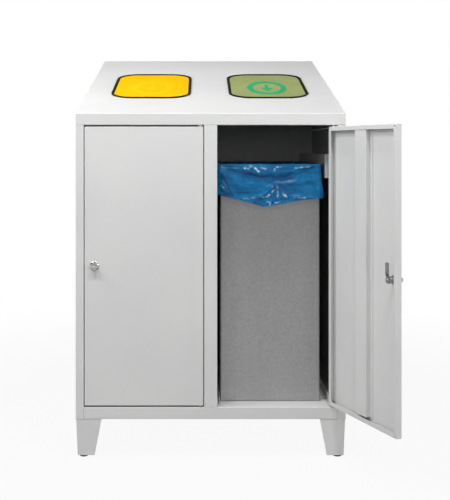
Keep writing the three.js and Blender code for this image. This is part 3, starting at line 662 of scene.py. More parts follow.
def pressed_foot():
    """Two tapering walls round the cabinet's corner, with plates at the top and above the glide."""
    near, far = FOOT_TOP
    left = -WIDTH / 2
    obj = block("front_left_pressed_foot", (left + near, near, FOOT_LOW), (left + far, far, FOOT_HIGH))
    edit(obj, "FACE", lambda f: f.normal.x > -0.5 and f.normal.y > -0.5)
    bpy.ops.mesh.delete(type="FACE")
    close_edit()
    share = (FOOT_BOTTOM[1] - FOOT_BOTTOM[0]) / (far - near)
    fixed = (FOOT_BOTTOM[0] - near * share) / (1 - share)
    edit(obj, "VERT", lambda v: v.co.z < FOOT_LOW + 1)
    bpy.ops.transform.resize(value=(share, share, 1), center_override=(left + fixed, fixed, FOOT_LOW))
    close_edit()
    as_sheet(obj, FOOT_SHEET, 4)
    inner = near + FOOT_SHEET + 0.1
    top = block(
        "foot_top", (left + inner, inner, FOOT_HIGH - FOOT_SHEET),
        (left + far - 1, far - 1, FOOT_HIGH - 0.1),
    )
    seat_near, seat_far = GLIDE_SEAT
    seat = block(
        "glide_seat", (left + seat_near, seat_near, FOOT_LOW + 0.1),
        (left + seat_far, seat_far, FOOT_LOW + FOOT_SHEET),
    )
    for plate in (top, seat):
        ease(plate, 0.4)
    return join("front_left_pressed_foot", obj, top, seat)


def levelling_glide():
    """A round pad with its stem and nut."""
    pad = turned("pad", [(9.6, 0), (10.4, 0.3), (11.2, 1.3), (11.5, 2.2), (11.5, 3.6), (10.9, 4.6), (8, 5)])
    stem = turned("stem", [(3.6, 4.5), (3.6, 17), (3.1, 17.6)], 24)
    nut = turned("nut", [(6.4, 8), (7.1, 8.6), (7.1, 12.4), (6.4, 13)], 6)
    return moved(join("front_left_levelling_glide", pad, stem, nut), Matrix.Translation(GLIDE_PLACE))


def add_body():
    side = side_sheet()
    right = mirror_of(side, "right_side_sheet", MIRROR_X)
    settle(side, PAINT, "root", ["left_side_panel"])
    settle(right, PAINT, "root", ["right_side_panel"])
    settle(back_sheet(), PAINT, "root", ["back_panel"])
    settle(centre_post(), PAINT, "root", ["centre_post"])
    settle(partition_sheet(), PAINT, "root", ["partition"])
    settle(floor_tray(), PAINT, "root", ["floor_pan"])
    settle(sloping_hood(), PAINT, "root", ["hood"])
    foot, glide = pressed_foot(), levelling_glide()
    corners = {
        "front_right": MIRROR_X, "rear_left": MIRROR_Y, "rear_right": MIRROR_X @ MIRROR_Y,
    }
    feet, glides = {"front_left": foot}, {"front_left": glide}
    for corner, move in corners.items():
        feet[corner] = mirror_of(foot, f"{corner}_pressed_foot", move)
        glides[corner] = mirror_of(glide, f"{corner}_levelling_glide", move)
    for corner in feet:
        settle(feet[corner], PAINT, "root", [f"{corner}_foot"])
        settle(glides[corner], BLACK, "root", [f"{corner}_glide"])


# ---- doors and latches -----------------------------------------------------------------------


def door_tray():
    """The door's skin with its turned-in edges and lips, and a hole in three of the lips' corners."""
    obj = block("left_door_tray", (DOOR_LEFT, 0, DOOR_BOTTOM), (DOOR_RIGHT, DOOR_THICKNESS, DOOR_TOP))
    edit(obj, "FACE", lambda f: f.normal.y > 0.9)
    bpy.ops.mesh.inset(thickness=DOOR_LIP, depth=0)
    bpy.ops.mesh.delete(type="FACE")
    close_edit()
    as_sheet(obj)
    inset = DOOR_LIP / 2
    for x, z in (
        (DOOR_LEFT + inset, DOOR_TOP - inset),
        (DOOR_LEFT + inset, DOOR_BOTTOM + inset),
        (DOOR_RIGHT - inset, DOOR_BOTTOM + inset),
    ):
        hole = turned("lip_hole", [(LIP_HOLE_RADIUS, -4), (LIP_HOLE_RADIUS, 4)], 24)
        turn = Matrix.Translation((x, DOOR_THICKNESS, z)) @ Matrix.Rotation(math.radians(90), 4, "X")
        cut(obj, moved(hole, turn))
    return obj


def hat_stiffener():
    """A hat-shaped profile down the middle of the door's inside."""
    centre = (DOOR_LEFT + DOOR_RIGHT) / 2
    low, top = SHEET + GAP + SHEET, DOOR_THICKNESS
    foot, crown = HAT_WIDTH / 2, HAT_CROWN / 2
    across = [(foot, low), (crown, low), (crown, top), (-crown, top), (-crown, low), (-foot, low)]
    bottom = DOOR_BOTTOM + DOOR_LIP + 5
    folds = [(centre + x, y, bottom) for x, y in across]
    return as_sheet(folded("left_hat_stiffener", folds, (0, 0, DOOR_TOP - DOOR_LIP - 1 - bottom)))


def pivot_pin(z):
    """A hinge pin with a collar just above the height z."""
    return moved(turned("pivot", [
        (2.1, -12), (2.5, -11.5), (2.5, 0.3), (4.6, 0.3), (5, 0.7), (5, 3.3), (4.6, 3.7), (2.5, 3.7),
        (2.5, 15.5), (2.1, 16),
    ], 32), Matrix.Translation((PIVOT_X, PIVOT_Y, z)))


def threaded_housing():
    """A domed rosette on the door's skin and a threaded barrel through it."""
    groove = ((8, 0), (8, 0.3), (7.55, 0.6))
    thread = [(radius, 1 + turn + rise) for turn in range(THREAD_TURNS) for radius, rise in groove]
    return turned("housing", [
        (4.6, -3.1), (8, -3.3), (9, -3.1), (11.3, -1.9), (12, -1.2), (12, -0.3), (8, -0.3), *thread,
        (7.6, 18.6), (7.1, HOUSING_REACH), (4.4, HOUSING_REACH),
    ], 64)


def housing_nut():
    nut = turned("nut", [(11.5, 1.5), (12.5, 2.1), (12.5, 5.9), (11.5, 6.5)], 6)
    cut(nut, turned("bore", [(8.3, 0), (8.3, 9)], 48))
    ease(nut, 0.15)
    return nut


def turn_knob():
    """A flat grip across a round stem that passes through the housing to the cam."""
    stem = turned("stem", [
        (8.2, -8.6), (9, -7.4), (8.6, -5.4), (7.2, -4.2), (6, -3.7), (4, -3.6), (4, 21.6),
    ])
    grip = block("grip", (-11, -6, -16), (11, 6, -7))
    edit(grip, "EDGE", lambda e: abs(e.verts[0].co.x - e.verts[1].co.x) > 1)
    bpy.ops.mesh.subdivide(number_cuts=5)
    close_edit()
    edit(grip, "VERT", lambda v: v.co.z < -15)
    bpy.ops.transform.resize(value=(0.94, 0.62, 1), center_override=(0, 0.6, -16))
    close_edit()
    edit(grip, "VERT", lambda v: abs(v.co.x) > 9)
    bpy.ops.transform.resize(value=(1, 0.8, 1), center_override=(0, 0, -11.5))
    close_edit()
    ease(grip, 2.2, 40, 4)
    modify(grip, "SUBSURF", levels=1, render_levels=1)
    return join("knob", grip, stem)


def cranked_cam():
    half = CAM_WIDTH / 2
    folds = [(-half, 8, 21.3), (-half, -10, 21.3), (-half, -14, 23.3), (-half, -41, 23.3)]
    obj = folded("cam", folds, (CAM_WIDTH, 0, 0))
    ease(obj, 1.5, 15, 3)
    modify(obj, "SOLIDIFY", thickness=2, offset=-1, use_even_offset=True)
    edit(obj, "EDGE", lambda e: abs(e.verts[0].co.z - e.verts[1].co.z) > 1.5 and abs(middle(e).x) > 6)
    bpy.ops.mesh.bevel(offset=4, segments=6, affect="EDGES")
    close_edit()
    ease(obj, 0.3, 50)
    return obj


def slotted_screw():
    obj = turned("screw", [(4.4, 21.9), (5, 22.2), (5, 23.1), (4.6, 23.9), (3.5, 24.5), (2, 24.7)])
    cut(obj, block("slot", (-6, -0.6, 23.8), (6, 0.6, 26)))
    return obj


def add_doors():
    settle_both(door_tray(), "door_tray", PAINT, RIGHT_DOOR, "{}_door", ["{}_door"])
    settle_both(
        hat_stiffener(), "hat_stiffener", PAINT, RIGHT_DOOR, "{}_door", ["{}_door_stiffener"],
    )
    for part, z in (("lower", SILL_TOP), ("upper", DOOR_TOP)):
        settle_both(
            pivot_pin(z), f"{part}_pivot_pin", ZINC, RIGHT_COMPARTMENT, "root",
            [f"{{}}_door_{part}_pivot"],
        )
    for made, part, finish, slot, body, node in (
        (threaded_housing(), "threaded_housing", CHROME, "chrome", "{}_door", "{}_latch_housing"),
        (housing_nut(), "housing_nut", ZINC, "zinc", "{}_door", "{}_latch_nut"),
        (turn_knob(), "turn_knob", CHROME, "chrome", "{}_latch", "{}_knob"),
        (cranked_cam(), "cranked_cam", ZINC, "zinc", "{}_latch", "{}_cam"),
        (slotted_screw(), "slotted_screw", ZINC, "zinc", "{}_latch", "{}_cam_screw"),
    ):
        settle_both(moved(made, LATCH), part, finish, RIGHT_DOOR, body, [node])


# ---- lids ------------------------------------------------------------------------------------


def edge_trim():
    """A rubber edge that grips the opening's sheet: a bead above, a sleeve in it, a lip below."""
    over = ring("over", LID_WIDTH + 8, LID_LENGTH + 8, LID_RADIUS + 4, 6.3, 0.3, 4)
    ease(over, 1.4, 50, 3)
    sleeve = ring("sleeve", LID_WIDTH - 0.6, LID_LENGTH - 0.6, LID_RADIUS - 0.3, 2, -3.5, 1)
    under = ring("under", LID_WIDTH + 6, LID_LENGTH + 6, LID_RADIUS + 3, 5.3, -3.5, -1.5)
    ease(under, 0.6, 50, 2)
    return join("trim", over, sleeve, under)


def push_flap():
    """A rounded plate with two webs below it, bored for the hinge rod."""
    gap = FLAP_GAP
    plate = rounded_block(
        "plate", LID_WIDTH - 2 * gap, LID_LENGTH - 2 * gap, LID_RADIUS - gap, -1.5, 1.5, 14
    )
    ease(plate, 1, 50, 4)
    parts = [plate]
    for x in (-WEB_X, WEB_X):
        web = block("web", (x - 2, 117, -14), (x + 2, 160, -1.2))
        edit(web, "VERT", lambda v: v.co.y < 118 and v.co.z < -10)
        bpy.ops.transform.translate(value=(0, 0, 12))
        close_edit()
        ease(web, 0.4)
        barrel = turned("barrel", [(6.1, -2), (6.5, -1.6), (6.5, 1.6), (6.1, 2)], 32)
        moved(barrel, Matrix.Translation((x, ROD_Y, ROD_Z)) @ Matrix.Rotation(math.radians(90), 4, "Y"))
        for part in (web, barrel):
            bore = turned("bore", [(ROD_RADIUS + GAP, -9), (ROD_RADIUS + GAP, 9)], 32)
            turn = Matrix.Rotation(math.radians(90), 4, "Y")
            cut(part, moved(bore, Matrix.Translation((x, ROD_Y, ROD_Z)) @ turn))
        parts += [web, barrel]
    return join("flap", *parts)


def throw_in_sign():
    """An oval ring with an arrow in it that points down the slope."""
    bpy.ops.object.select_all(action="DESELECT")
    bpy.ops.mesh.primitive_circle_add(vertices=96, radius=57, fill_type="NGON")
    oval = bpy.context.active_object
    edit(oval, "FACE", lambda f: True)
    bpy.ops.mesh.inset(thickness=16, depth=0)
    bpy.ops.mesh.delete(type="FACE")
    bpy.ops.mesh.select_all(action="SELECT")
    bpy.ops.transform.resize(value=(1, 1.6, 1), center_override=(0, 0, 0))
    close_edit()
    bpy.ops.object.select_all(action="DESELECT")
    bpy.ops.mesh.primitive_plane_add(size=1)
    arrow = bpy.context.active_object
    moved(arrow, Matrix.Translation((0, 22, 0)) @ Matrix.Diagonal((11, 50, 1, 1)))
    edit(arrow, "EDGE", lambda e: middle(e).y < 0)
    bpy.ops.mesh.extrude_region_move(TRANSFORM_OT_translate={"value": (0, 0, 0)})
    bpy.ops.transform.resize(value=(3.3, 1, 1), center_override=(0, 0, 0))
    bpy.ops.mesh.extrude_region_move(TRANSFORM_OT_translate={"value": (0, -46, 0)})
    bpy.ops.transform.resize(value=(0.02, 1, 1), center_override=(0, 0, 0))
    close_edit()
    for part in (oval, arrow):
        moved(part, Matrix.Translation((0, -30, 1.45)))
        edit(part, "FACE", lambda f: True)
        bpy.ops.mesh.remove_doubles(threshold=0.001)
        bpy.ops.mesh.extrude_region_move(TRANSFORM_OT_translate={"value": (0, 0, 0.25)})
        bpy.ops.mesh.select_all(action="SELECT")
        bpy.ops.mesh.normals_make_consistent(inside=False)
        close_edit()
    return join("sign", oval, arrow)


def hinge_rod():
    end, radius = ROD_LENGTH / 2, ROD_RADIUS
    stations = [(radius - 0.5, -end), (radius, 0.5 - end), (radius, end - 0.5), (radius - 0.5, end)]
    rod = turned("rod", stations, 32)
    return moved(rod, Matrix.Translation((0, ROD_Y, ROD_Z)) @ Matrix.Rotation(math.radians(90), 4, "Y"))


def return_spring():
    """A wire's round section screwed along the rod, closed at both ends."""
    coils, pitch = 18, 3.2
    bpy.ops.object.select_all(action="DESELECT")
    bpy.ops.mesh.primitive_circle_add(
        vertices=8, radius=1.05, fill_type="NOTHING", location=(0, 5.6, 0)
    )
    obj = bpy.context.active_object
    apply_place(obj)
    modify(
        obj, "SCREW", axis="X", angle=2 * math.pi, screw_offset=pitch, iterations=coils,
        steps=16, render_steps=16,
    )
    edit(obj, "VERT", lambda v: True)
    bpy.ops.mesh.remove_doubles(threshold=0.01)
    bpy.ops.mesh.fill_holes(sides=0)
    bpy.ops.mesh.select_all(action="SELECT")
    bpy.ops.mesh.normals_make_consistent(inside=False)
    close_edit()
    return moved(obj, Matrix.Translation((-coils * pitch / 2, ROD_Y, ROD_Z)))


def add_lids():
    lid = CABINET @ LEFT_LID
    settle_both(
        edge_trim(), "edge_trim", RUBBER, RIGHT_LID_STEP, "root", ["{}_opening_trim"], lid,
    )
    settle_both(hinge_rod(), "hinge_rod", ZINC, RIGHT_LID_STEP, "root", ["{}_flap_rod"], lid)
    settle_both(
        return_spring(), "return_spring", ZINC, RIGHT_LID_STEP, "root", ["{}_flap_spring"], lid,
    )
    flap, sign = push_flap(), throw_in_sign()
    sides = (
        ("left", flap, sign, YELLOW, YELLOW_PRINT, "yellow_plastic"),
        (
            "right", copy_of(flap, "right_push_flap", RIGHT_LID_STEP),
            copy_of(sign, "right_throw_in_sign", RIGHT_LID_STEP), GREEN, GREEN_PRINT, "green_plastic",
        ),
    )
    for side, plate, mark, plastic, ink, slot in sides:
        plate.name, mark.name = f"{side}_push_flap", f"{side}_throw_in_sign"
        settle(plate, plastic, f"{side}_flap", [f"{side}_flap"], lid)
        settle(mark, ink, f"{side}_flap", (), lid)
        for end in ("left", "right"):
            node = f"{side}_flap_{end}_bracket"
            bracket = refined(f"{side}_rod_bracket_{end}", node)
            settle(bracket, ZINC, "root", [node], Matrix())


# ---- bins, guides and bags -------------------------------------------------------------------


def steel_bin():
    """An open bin of folded sheet, with two rivets low down on its front and on its back."""
    obj = block("bin", (BIN_LEFT, BIN_FRONT, BIN_BOTTOM), (BIN_RIGHT, BIN_BACK, BIN_TOP))
    edit(obj, "FACE", lambda f: f.normal.z > 0.9)
    bpy.ops.mesh.delete(type="FACE")
    close_edit()
    as_sheet(obj, BIN_SHEET, 3)
    rivets = []
    for y, turn in ((BIN_FRONT, 90), (BIN_BACK, -90)):
        for x in RIVETS_X:
            rivet = turned("rivet", [(2.8, -0.2), (2.7, 0.3), (2.1, 0.8), (1.1, 1.05)], 20)
            turn_out = Matrix.Rotation(math.radians(turn), 4, "X")
            rivets.append(moved(rivet, Matrix.Translation((x, y, RIVETS_Z)) @ turn_out))
    return join("bin", obj, *rivets)


def rail(name, node):
    """The rail at rim height: a box of sheet open towards the wall and at its back."""
    low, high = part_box(node)
    obj = block(name, (0, 0, 0), (1, 1, 1))
    span = high - low
    moved(obj, Matrix.Translation((low - FRONT_MIDDLE) * 1000) @ Matrix.Diagonal((*(span * 1000), 1)))
    edit(obj, "FACE", lambda f: f.normal.x > 0.9 or f.normal.y > 0.9)
    bpy.ops.mesh.delete(type="FACE")
    close_edit()
    return as_sheet(obj)


def floor_guide(name, node, wall_right):
    """An angle beside the bin: one leg on the floor, one upright along the bin."""
    low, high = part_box(node)
    low, high = (low - FRONT_MIDDLE) * 1000, (high - FRONT_MIDDLE) * 1000
    face, wall = (low.x, high.x) if wall_right else (high.x, low.x)
    folds = [(wall, low.y, low.z), (face, low.y, low.z), (face, low.y, high.z)]
    if not wall_right:
        folds.reverse()
    return as_sheet(folded(name, folds, (0, high.y - low.y, 0)))


# Rows of the film's mesh down its cuff, over the rim and down the inside.
CUFF_ROWS = 54
RIM_ROWS = 8
LINER_ROWS = 22

# How far the cuff stands off the bin: at the rim, how much more at its lower edge, and what its
# crumples, its lap at the left corner and the film bunched at the right corner add.
CUFF_OFF = 4.0
CUFF_FLARE = 1.6
CUFF_CRUMPLE = 2.0
CUFF_LAP = 3.6
CUFF_BUNCH = 5.5
CUFF_LEAST = 1.2
CUFF_MOST = 11
CUFF_MOST_BY_RAIL = 8.5
RAIL_DROP = 42
# How far the painted glints and painted shade spread.
PAINTED_MARK_SPREAD = 1.35

# Folds in the front of the bag's cuff, in millimetres from its left top corner, across and down:
# the two ends of each, how wide it is and how far it stands proud (or falls back).
CUFF_FOLDS = (
    ((20, 14), (80, 36), 16, -3.4), ((80, 36), (128, 42), 17, -4.6), ((128, 42), (190, 34), 16, -4.2),
    ((190, 34), (246, 12), 15, -3.0),
    ((34, 60), (92, 55), 12, -1.2), ((196, 62), (252, 54), 13, -1.4), ((150, 55), (232, 44), 9, 1.3),
    ((40, 74), (112, 70), 8, 1.2), ((66, 47), (120, 60), 8, 1.2),
    ((70, 7), (84, 5), 6, 2.0), ((84, 5), (101, 20), 6, 2.6), ((106, 5), (124, 13), 5, 2.4),
    ((141, 6), (137, 25), 6, 2.2), ((214, 11), (242, 5), 6, 2.0), ((160, 8), (206, 12), 5, 1.2),
    ((54, 89), (108, 85), 6, 2.4), ((108, 85), (147, 58), 8, 3.2), ((147, 58), (150, 92), 7, 3.6),
    ((147, 58), (175, 86), 8, 3.2), ((175, 86), (214, 83), 6, 2.0), ((200, 87), (268, 90), 6, 2.4),
    ((116, 96), (134, 100), 5, 2.0), ((134, 100), (154, 97), 5, 2.0), ((124, 107), (136, 103), 4, 1.4),
    ((2, 46), (14, 60), 6, 2.4), ((0, 66), (24, 76), 7, 2.2), ((8, 30), (3, 58), 5, 1.6),
)
# Lines in the cuff's front with painted glints (above 0, milky) and painted shade, partly film lying
# double (below 0, deeper blue): the line's points, its width before PAINTED_MARK_SPREAD and how strongly it
# shows.
CUFF_PAINTED_GLINTS_AND_SHADE = (
    (((64, 10), (75, 12), (82, 5), (92, 10), (102, 20)), 3.8, 1), (((106, 8), (121, 13)), 3.8, 0.9),
    (((142, 18), (146, 9), (160, 6)), 3.5, 0.85), (((199, 10), (236, 7)), 3.2, 0.7),
    (((5, 9), (59, 10)), 2.6, 0.45), (((152, 59), (152, 86)), 3.8, 0.8), (((166, 77), (174, 88)), 4.6, 1.1),
    (((123, 86), (131, 80)), 3.5, 0.85), (((61, 91), (102, 88), (121, 85)), 2.9, 0.6),
    (((137, 73), (148, 63)), 3.2, 0.75), (((123, 99), (133, 102), (131, 109)), 3.2, 0.8),
    (((144, 102), (158, 100)), 3.2, 0.75), (((195, 88), (226, 89)), 2.9, 0.7),
    (((1, 38), (2, 54), (9, 61)), 3.5, 0.75), (((0, 3), (5, 6)), 3.5, 0.7),
    (((24, 14), (63, 22), (100, 33), (150, 36), (184, 29)), 13, -0.85), (((184, 29), (230, 22)), 9, -0.4),
    (((0, 18), (32, 82)), 4.5, -1.3), (((-4, 46), (12, 84)), 14, -1.0), (((164, 66), (220, 72)), 8, -0.4),
    (((60, 64), (116, 72)), 8, -0.3), (((133, 72), (148, 96)), 6, -0.4),
)
# The cuff's lower edge along the front, across and down.
CUFF_EDGE = ((0, 82), (60, 97), (98, 107), (112, 112), (128, 112), (150, 107), (220, 94), (264, 90))


def fold_height(across, down, start, end, width, height):
    """A fold's height at a point: all of it on its line, none of it a width away."""
    (x0, z0), (x1, z1) = start, end
    run_x, run_z = x1 - x0, z1 - z0
    along = ((across - x0) * run_x + (down - z0) * run_z) / (run_x ** 2 + run_z ** 2)
    along = min(max(along, 0), 1)
    away = math.hypot(across - x0 - along * run_x, down - z0 - along * run_z)
    return height * max(0, 1 - away / width) ** 1.2


def crumple(x, y, z):
    """Creased film: soft swells with sharp ridges laid over them, from about -1 to 1."""
    swell = noise.noise(Vector((x / 60, y / 60, z / 26 + 3)))
    ridge = 1 - 3.2 * abs(noise.noise(Vector((x / 34, y / 34, z / 17 + 9))))
    fine = 1 - 3 * abs(noise.noise(Vector((x / 15, y / 15, z / 9 + 21))))
    return 0.5 * swell + 0.34 * ridge + 0.16 * fine


def level(value, points):
    """How far down a line of points is at a place across."""
    for (x0, z0), (x1, z1) in zip(points, points[1:]):
        if value <= x1:
            break
    share = min(max((value - x0) / (x1 - x0), 0), 1)
    return z0 + (z1 - z0) * share


def bin_outline():
    """Where the bag's columns run: side or corner of the bin, and how far along it."""
    outline = []
    for side, columns in enumerate((150, 64, 44, 64)):
        outline += [(side, "straight", i / columns) for i in range(columns)]
        outline += [(side, "corner", i / 6) for i in range(6)]
    return outline


def on_bin(side, part, share, out):
    """The point that far out from the bin's wall, and how far it is from the side's middle."""
    half_x, half_y = (BIN_RIGHT - BIN_LEFT) / 2 + out, (BIN_BACK - BIN_FRONT) / 2 + out
    radius = max(BAG_CORNER + out, BAG_CORNER - out * 0.7)
    half_u, half_v = (half_x, half_y) if side % 2 == 0 else (half_y, half_x)
    if part == "straight":
        u, v = (2 * share - 1) * (half_u - radius), -half_v
    else:
        turn = share * math.pi / 2
        u = half_u - radius + radius * math.sin(turn)
        v = -half_v + radius - radius * math.cos(turn)
    around = Matrix.Rotation(side * math.pi / 2, 3, "Z")
    centre = Vector(((BIN_LEFT + BIN_RIGHT) / 2, (BIN_FRONT + BIN_BACK) / 2, 0))
    return centre + around @ Vector((u, v, 0)), u


def cuff_point(column, share):
    """The part of the bag turned down outside the bin; share runs from the rim (0) to its edge."""
    side, part, along = column
    place_at, u = on_bin(side, part, along, 0)
    wander = noise.noise(Vector((place_at.x / 70, place_at.y / 70, 5)))
    if side == 0:
        across = u + (BIN_RIGHT - BIN_LEFT) / 2
        from_corner = min(max(min(across, BIN_RIGHT - BIN_LEFT - across) / 6, 0), 1)
        drop = level(across, CUFF_EDGE) + 1.2 * from_corner * noise.noise(Vector((across / 9, 4, 2)))
    else:
        blend = math.exp(-abs(place_at.y - BIN_FRONT) / 60)
        front_drop = CUFF_EDGE[-1][1] if place_at.x > (BIN_LEFT + BIN_RIGHT) / 2 else CUFF_EDGE[0][1]
        drop = blend * front_drop + (1 - blend) * (95 + 9 * wander)
    down = drop * share
    crumpled = CUFF_CRUMPLE * crumple(*place_at.xy, down) * min(1, 0.35 + down / 30)
    out = CUFF_OFF + CUFF_FLARE * share ** 1.5 + crumpled
    behind = max(place_at.y - BIN_FRONT, 0)
    if side == 0:
        out += from_corner * sum(fold_height(across, down, *fold) for fold in CUFF_FOLDS)
        lap = across - 3 - 0.6 * max(down - 18, 0)
        out += CUFF_LAP / (1 + math.exp(min(lap / 0.9, 60))) * min(1, down / 22)
    elif place_at.x < BIN_LEFT + 8:
        out += CUFF_LAP * min(1, down / 22) * math.exp(-behind / 25)
    beside = max(BIN_RIGHT - place_at.x, 0)
    out += CUFF_BUNCH * math.exp(-(behind / 30) ** 2 - ((down - 78) / 24) ** 2 - (beside / 9) ** 2)
    most = CUFF_MOST_BY_RAIL if side == 1 and down < RAIL_DROP else CUFF_MOST
    out = min(max(out, CUFF_LEAST), most)
    place_at, u = on_bin(side, part, along, out)
    return Vector((place_at.x, place_at.y, BIN_TOP + 0.6 - down))


def liner_point(column, depth):
    """The part of the bag inside the bin; depth runs from the rim (0) to the bin's floor (1)."""
    side, part, along = column
    place_at, u = on_bin(side, part, along, 0)
    pleat = 1 - 3 * abs(noise.noise(Vector((place_at.x / 22, place_at.y / 22, 1 + depth * 1.6))))
    sag = 3 + 17 * math.sin(math.pi * min(depth * 1.15, 1)) ** 0.8 + 9 * depth
    inside = sag + 3.5 * (pleat + 1) * min(1, depth * 9) + 2 * crumple(*place_at.xy, depth * 300)
    if side == 1:
        back = place_at.y - BIN_FRONT
        inside = min(inside, 3 + 60 * max(0, depth - 0.13) + 0.2 * max(0, 60 - back, back - 450))
    place_at, u = on_bin(side, part, along, -max(inside, 2.6))
    return Vector((place_at.x, place_at.y, BIN_TOP - 4 - (BIN_TOP - BIN_BOTTOM - 9) * depth))


def painted_glint_and_shade_at(column, share):
    """The painted glint (above 0) and painted shade, partly film lying double (below 0), at a point of the
    cuff.
    """
    side, part, along = column
    if side != 0:
        return 0
    across = on_bin(side, part, along, 0)[1] + (BIN_RIGHT - BIN_LEFT) / 2
    down = level(across, CUFF_EDGE) * share
    heights = [
        fold_height(across, down, start, end, PAINTED_MARK_SPREAD * width, amount)
        for line, width, amount in CUFF_PAINTED_GLINTS_AND_SHADE for start, end in zip(line, line[1:])
    ]
    return max(heights) if max(heights) > 0.1 else min(heights)


def bag_floor_point(column, share):
    corner = liner_point(column, 1)
    middle_x = (BIN_LEFT + BIN_RIGHT) / 2
    seam = on_bin(*column, -30)[0].y
    end = max(min(seam, BIN_BACK - 150), BIN_FRONT + 150)
    soft = noise.noise(Vector((corner.x * (1 - share) / 30, end / 30, 7)))
    height = corner.z - 1.5 + 1.5 * share * (1 + soft)
    return Vector((
        corner.x + (middle_x - corner.x) * share, corner.y + (end - corner.y) * share, height,
    ))


def rim_point(column, share):
    """The bag bends over the bin's rim between its cuff and its liner."""
    outer, inner = cuff_point(column, 0), liner_point(column, 0)
    made = outer.lerp(inner, (1 - math.cos(math.pi * share)) / 2)
    lift = 1.7 + 0.7 * noise.noise(Vector((outer.x / 24, outer.y / 24, 12)))
    made.z += lift * math.sin(math.pi * share)
    return made


def film_bag():
    """One sheet of film: up the cuff, over the rim, down the inside and closed along the floor."""
    stations = [(cuff_point, 1 - i / CUFF_ROWS) for i in range(CUFF_ROWS)]
    stations += [(rim_point, i / RIM_ROWS) for i in range(RIM_ROWS)]
    stations += [(liner_point, (i / LINER_ROWS) ** 1.5) for i in range(LINER_ROWS + 1)]
    stations += [(bag_floor_point, share) for share in (0.05, 0.15, 0.35, 0.6, 0.8, 1)]
    outline = bin_outline()
    columns = len(outline)
    bpy.ops.object.select_all(action="DESELECT")
    bpy.ops.mesh.primitive_grid_add(x_subdivisions=columns, y_subdivisions=len(stations) - 1, size=2)
    obj = bpy.context.active_object
    # The cuff's painted glints and painted shade, stored on its points for the film's material.
    painted_glint_and_shade = obj.data.attributes.new("painted_glint_and_shade", "FLOAT", "POINT")
    for vertex in obj.data.vertices:
        column = round((vertex.co.x + 1) / 2 * columns) % columns
        row = round((vertex.co.y + 1) / 2 * (len(stations) - 1))
        shape, share = stations[row]
        vertex.co = shape(outline[column], share)
        if shape is cuff_point:
            painted_glint_and_shade.data[vertex.index].value = painted_glint_and_shade_at(outline[column], share)
    edit(obj, "VERT", lambda v: True)
    bpy.ops.mesh.remove_doubles(threshold=0.02)
    bpy.ops.mesh.normals_make_consistent(inside=False)
    close_edit()
    modify(obj, "SOLIDIFY", thickness=0.2, offset=0, use_even_offset=False)
    return obj


def add_bags():
    left = film_bag()
    right = copy_of(left, "right_film_bag", RIGHT_COMPARTMENT)
    left.name = "left_film_bag"
    settle(left, FILM, "root", ["left_bag"], smooth=50)
    settle(right, FILM, "right_bin", ["right_bag"], smooth=50)


def add_bins():
    bin_body = steel_bin()
    right = copy_of(bin_body, "right_steel_bin", RIGHT_COMPARTMENT)
    bin_body.name = "left_steel_bin"
    settle(bin_body, GALVANISED, "root", ["left_bin"])
    settle(right, GALVANISED, "right_bin", ["right_bin"])
    for side in ("left", "right"):
        settle(
            rail(f"{side}_folded_rail", f"{side}_guide_rail"), PAINT, "root",
            [f"{side}_guide_rail"],
        )
        for edge, wall_right in (("hinge", True), ("latch", False)):
            node = f"{side}_{edge}_side_guide"
            made = floor_guide(f"{side}_{edge}_side_angle", node, wall_right)
            settle(made, PAINT, "root", [node])


add_body()
add_doors()
add_lids()
add_bins()
add_bags()

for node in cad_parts.values():
    for place_for in node.material_slots:
        place_for.material = CAD_FINISHES[place_for.material.name]

# ---- floor, background and light -------------------------------------------------------------


def studio_floor():
    """A white floor that keeps the cabinet's shadow and runs into the white background."""
    bpy.ops.object.select_all(action="DESELECT")
    bpy.ops.mesh.primitive_plane_add(size=60)
    ground = bpy.context.active_object
    ground.name = "studio_floor"
    white, shader = new_finish("white_floor", 0.9)
    shader.inputs["Base Color"].default_value = (0.42, 0.42, 0.42, 1)
    rays = add(white, "ShaderNodeLightPath")
    seen = add(white, "ShaderNodeMath", {
        0: rays.outputs["Is Camera Ray"], 1: rays.outputs["Is Transmission Ray"],
    }, operation="MAXIMUM")
    away = add(white, "ShaderNodeVectorMath", {0: place(white)}, operation="LENGTH")
    far = add(white, "ShaderNodeMapRange", {
        "Value": away.outputs["Value"], "From Min": 0.9, "From Max": 2.4, "To Min": 0, "To Max": 1,
    })
    mirrored = add(white, "ShaderNodeMath", {
        0: rays.outputs["Is Glossy Ray"], 1: far.outputs["Result"],
    }, operation="MULTIPLY")
    seen = add(white, "ShaderNodeMath", {
        0: seen.outputs[0], 1: mirrored.outputs[0],
    }, operation="MAXIMUM")
    fade = add(white, "ShaderNodeMapRange", {
        "Value": away.outputs["Value"], "From Min": 0.7, "From Max": 2.4, "To Min": 0.93, "To Max": 1,
    }, interpolation_type="SMOOTHSTEP")
    amount = add(white, "ShaderNodeMath", {
        0: seen.outputs[0], 1: fade.outputs["Result"],
    }, operation="MULTIPLY")
    glow = add(white, "ShaderNodeEmission")
    blend = add(white, "ShaderNodeMixShader", {
        0: amount.outputs[0], 1: shader.outputs[0], 2: glow.outputs[0],
    })
    white.node_tree.links.new(blend.outputs[0], white.node_tree.nodes["Material Output"].inputs[0])
    ground.data.materials.append(white)


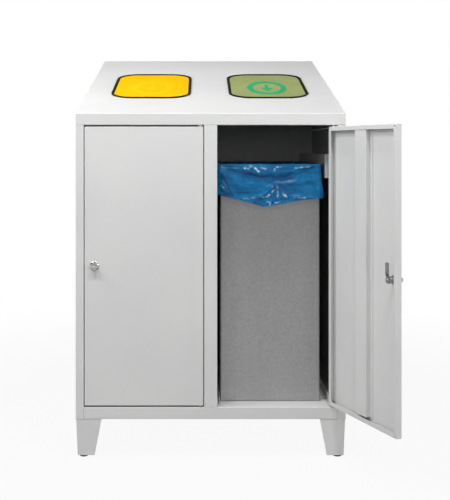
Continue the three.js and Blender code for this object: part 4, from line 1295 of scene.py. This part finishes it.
def studio_world():
    """White behind the cabinet; gloss sees it too, dimmer towards the ceiling; a weaker fill."""
    world = bpy.data.worlds.new("studio")
    bpy.context.scene.world = world
    world.use_nodes = True
    rays = add(world, "ShaderNodeLightPath")
    direction = add(world, "ShaderNodeTexCoord")
    height = add(world, "ShaderNodeSeparateXYZ", {0: direction.outputs["Generated"]})
    ceiling = add(world, "ShaderNodeMapRange", {
        "Value": height.outputs["Z"], "From Min": 0.05, "From Max": 0.38, "To Min": 1, "To Max": 0.14,
    })
    soft = add(world, "ShaderNodeMapRange", {
        "Value": height.outputs["Z"], "From Min": 0.05, "From Max": 0.26, "To Min": 1.62, "To Max": 0.12,
    })
    walls = add(world, "ShaderNodeBackground", {"Strength": ceiling.outputs["Result"]})
    fill = add(world, "ShaderNodeBackground", {"Strength": soft.outputs["Result"]})
    white = add(world, "ShaderNodeBackground", {"Strength": 1})
    for background in (walls, fill, white):
        background.inputs["Color"].default_value = (1, 1, 1, 1)
    seen = add(world, "ShaderNodeMath", {
        0: rays.outputs["Is Camera Ray"], 1: rays.outputs["Is Transmission Ray"],
    }, operation="MAXIMUM")
    gloss = add(world, "ShaderNodeMixShader", {
        0: rays.outputs["Is Glossy Ray"], 1: fill.outputs[0], 2: walls.outputs[0],
    })
    blend = add(world, "ShaderNodeMixShader", {
        0: seen.outputs[0], 1: gloss.outputs[0], 2: white.outputs[0],
    })
    world.node_tree.links.new(blend.outputs[0], world.node_tree.nodes["World Output"].inputs[0])


def lamp(name, place_at, aim, size, power):
    light = bpy.data.lights.new(name, "AREA")
    light.shape = "RECTANGLE"
    light.size, light.size_y = size
    light.energy = power
    obj = bpy.data.objects.new(name, light)
    bpy.context.scene.collection.objects.link(obj)
    obj.location = place_at
    obj.rotation_euler = (Vector(aim) - Vector(place_at)).to_track_quat("-Z", "Y").to_euler()


studio_floor()
studio_world()
lamp("left_key", (-0.98, -1.33, 2.79), (-0.05, 0, 0.8), (0.2, 0.16), 25)
lamp("right_key", (0.28, -1.33, 2.79), (-0.05, 0, 0.8), (0.2, 0.16), 25)
lamp("left_soft", (-1.3, -0.45, 1.75), (0.3, -0.3, 0.75), (0.6, 0.6), 15)
lamp("right_soft", (1.2, -2.2, 1.55), (-0.05, 0, 0.65), (1.1, 1.1), 8)
lamp("far_right_soft", (2.3, -1.6, 1.6), (0.1, 0, 0.65), (0.9, 0.9), 15)

bpy.context.scene.view_settings.view_transform = "Standard"
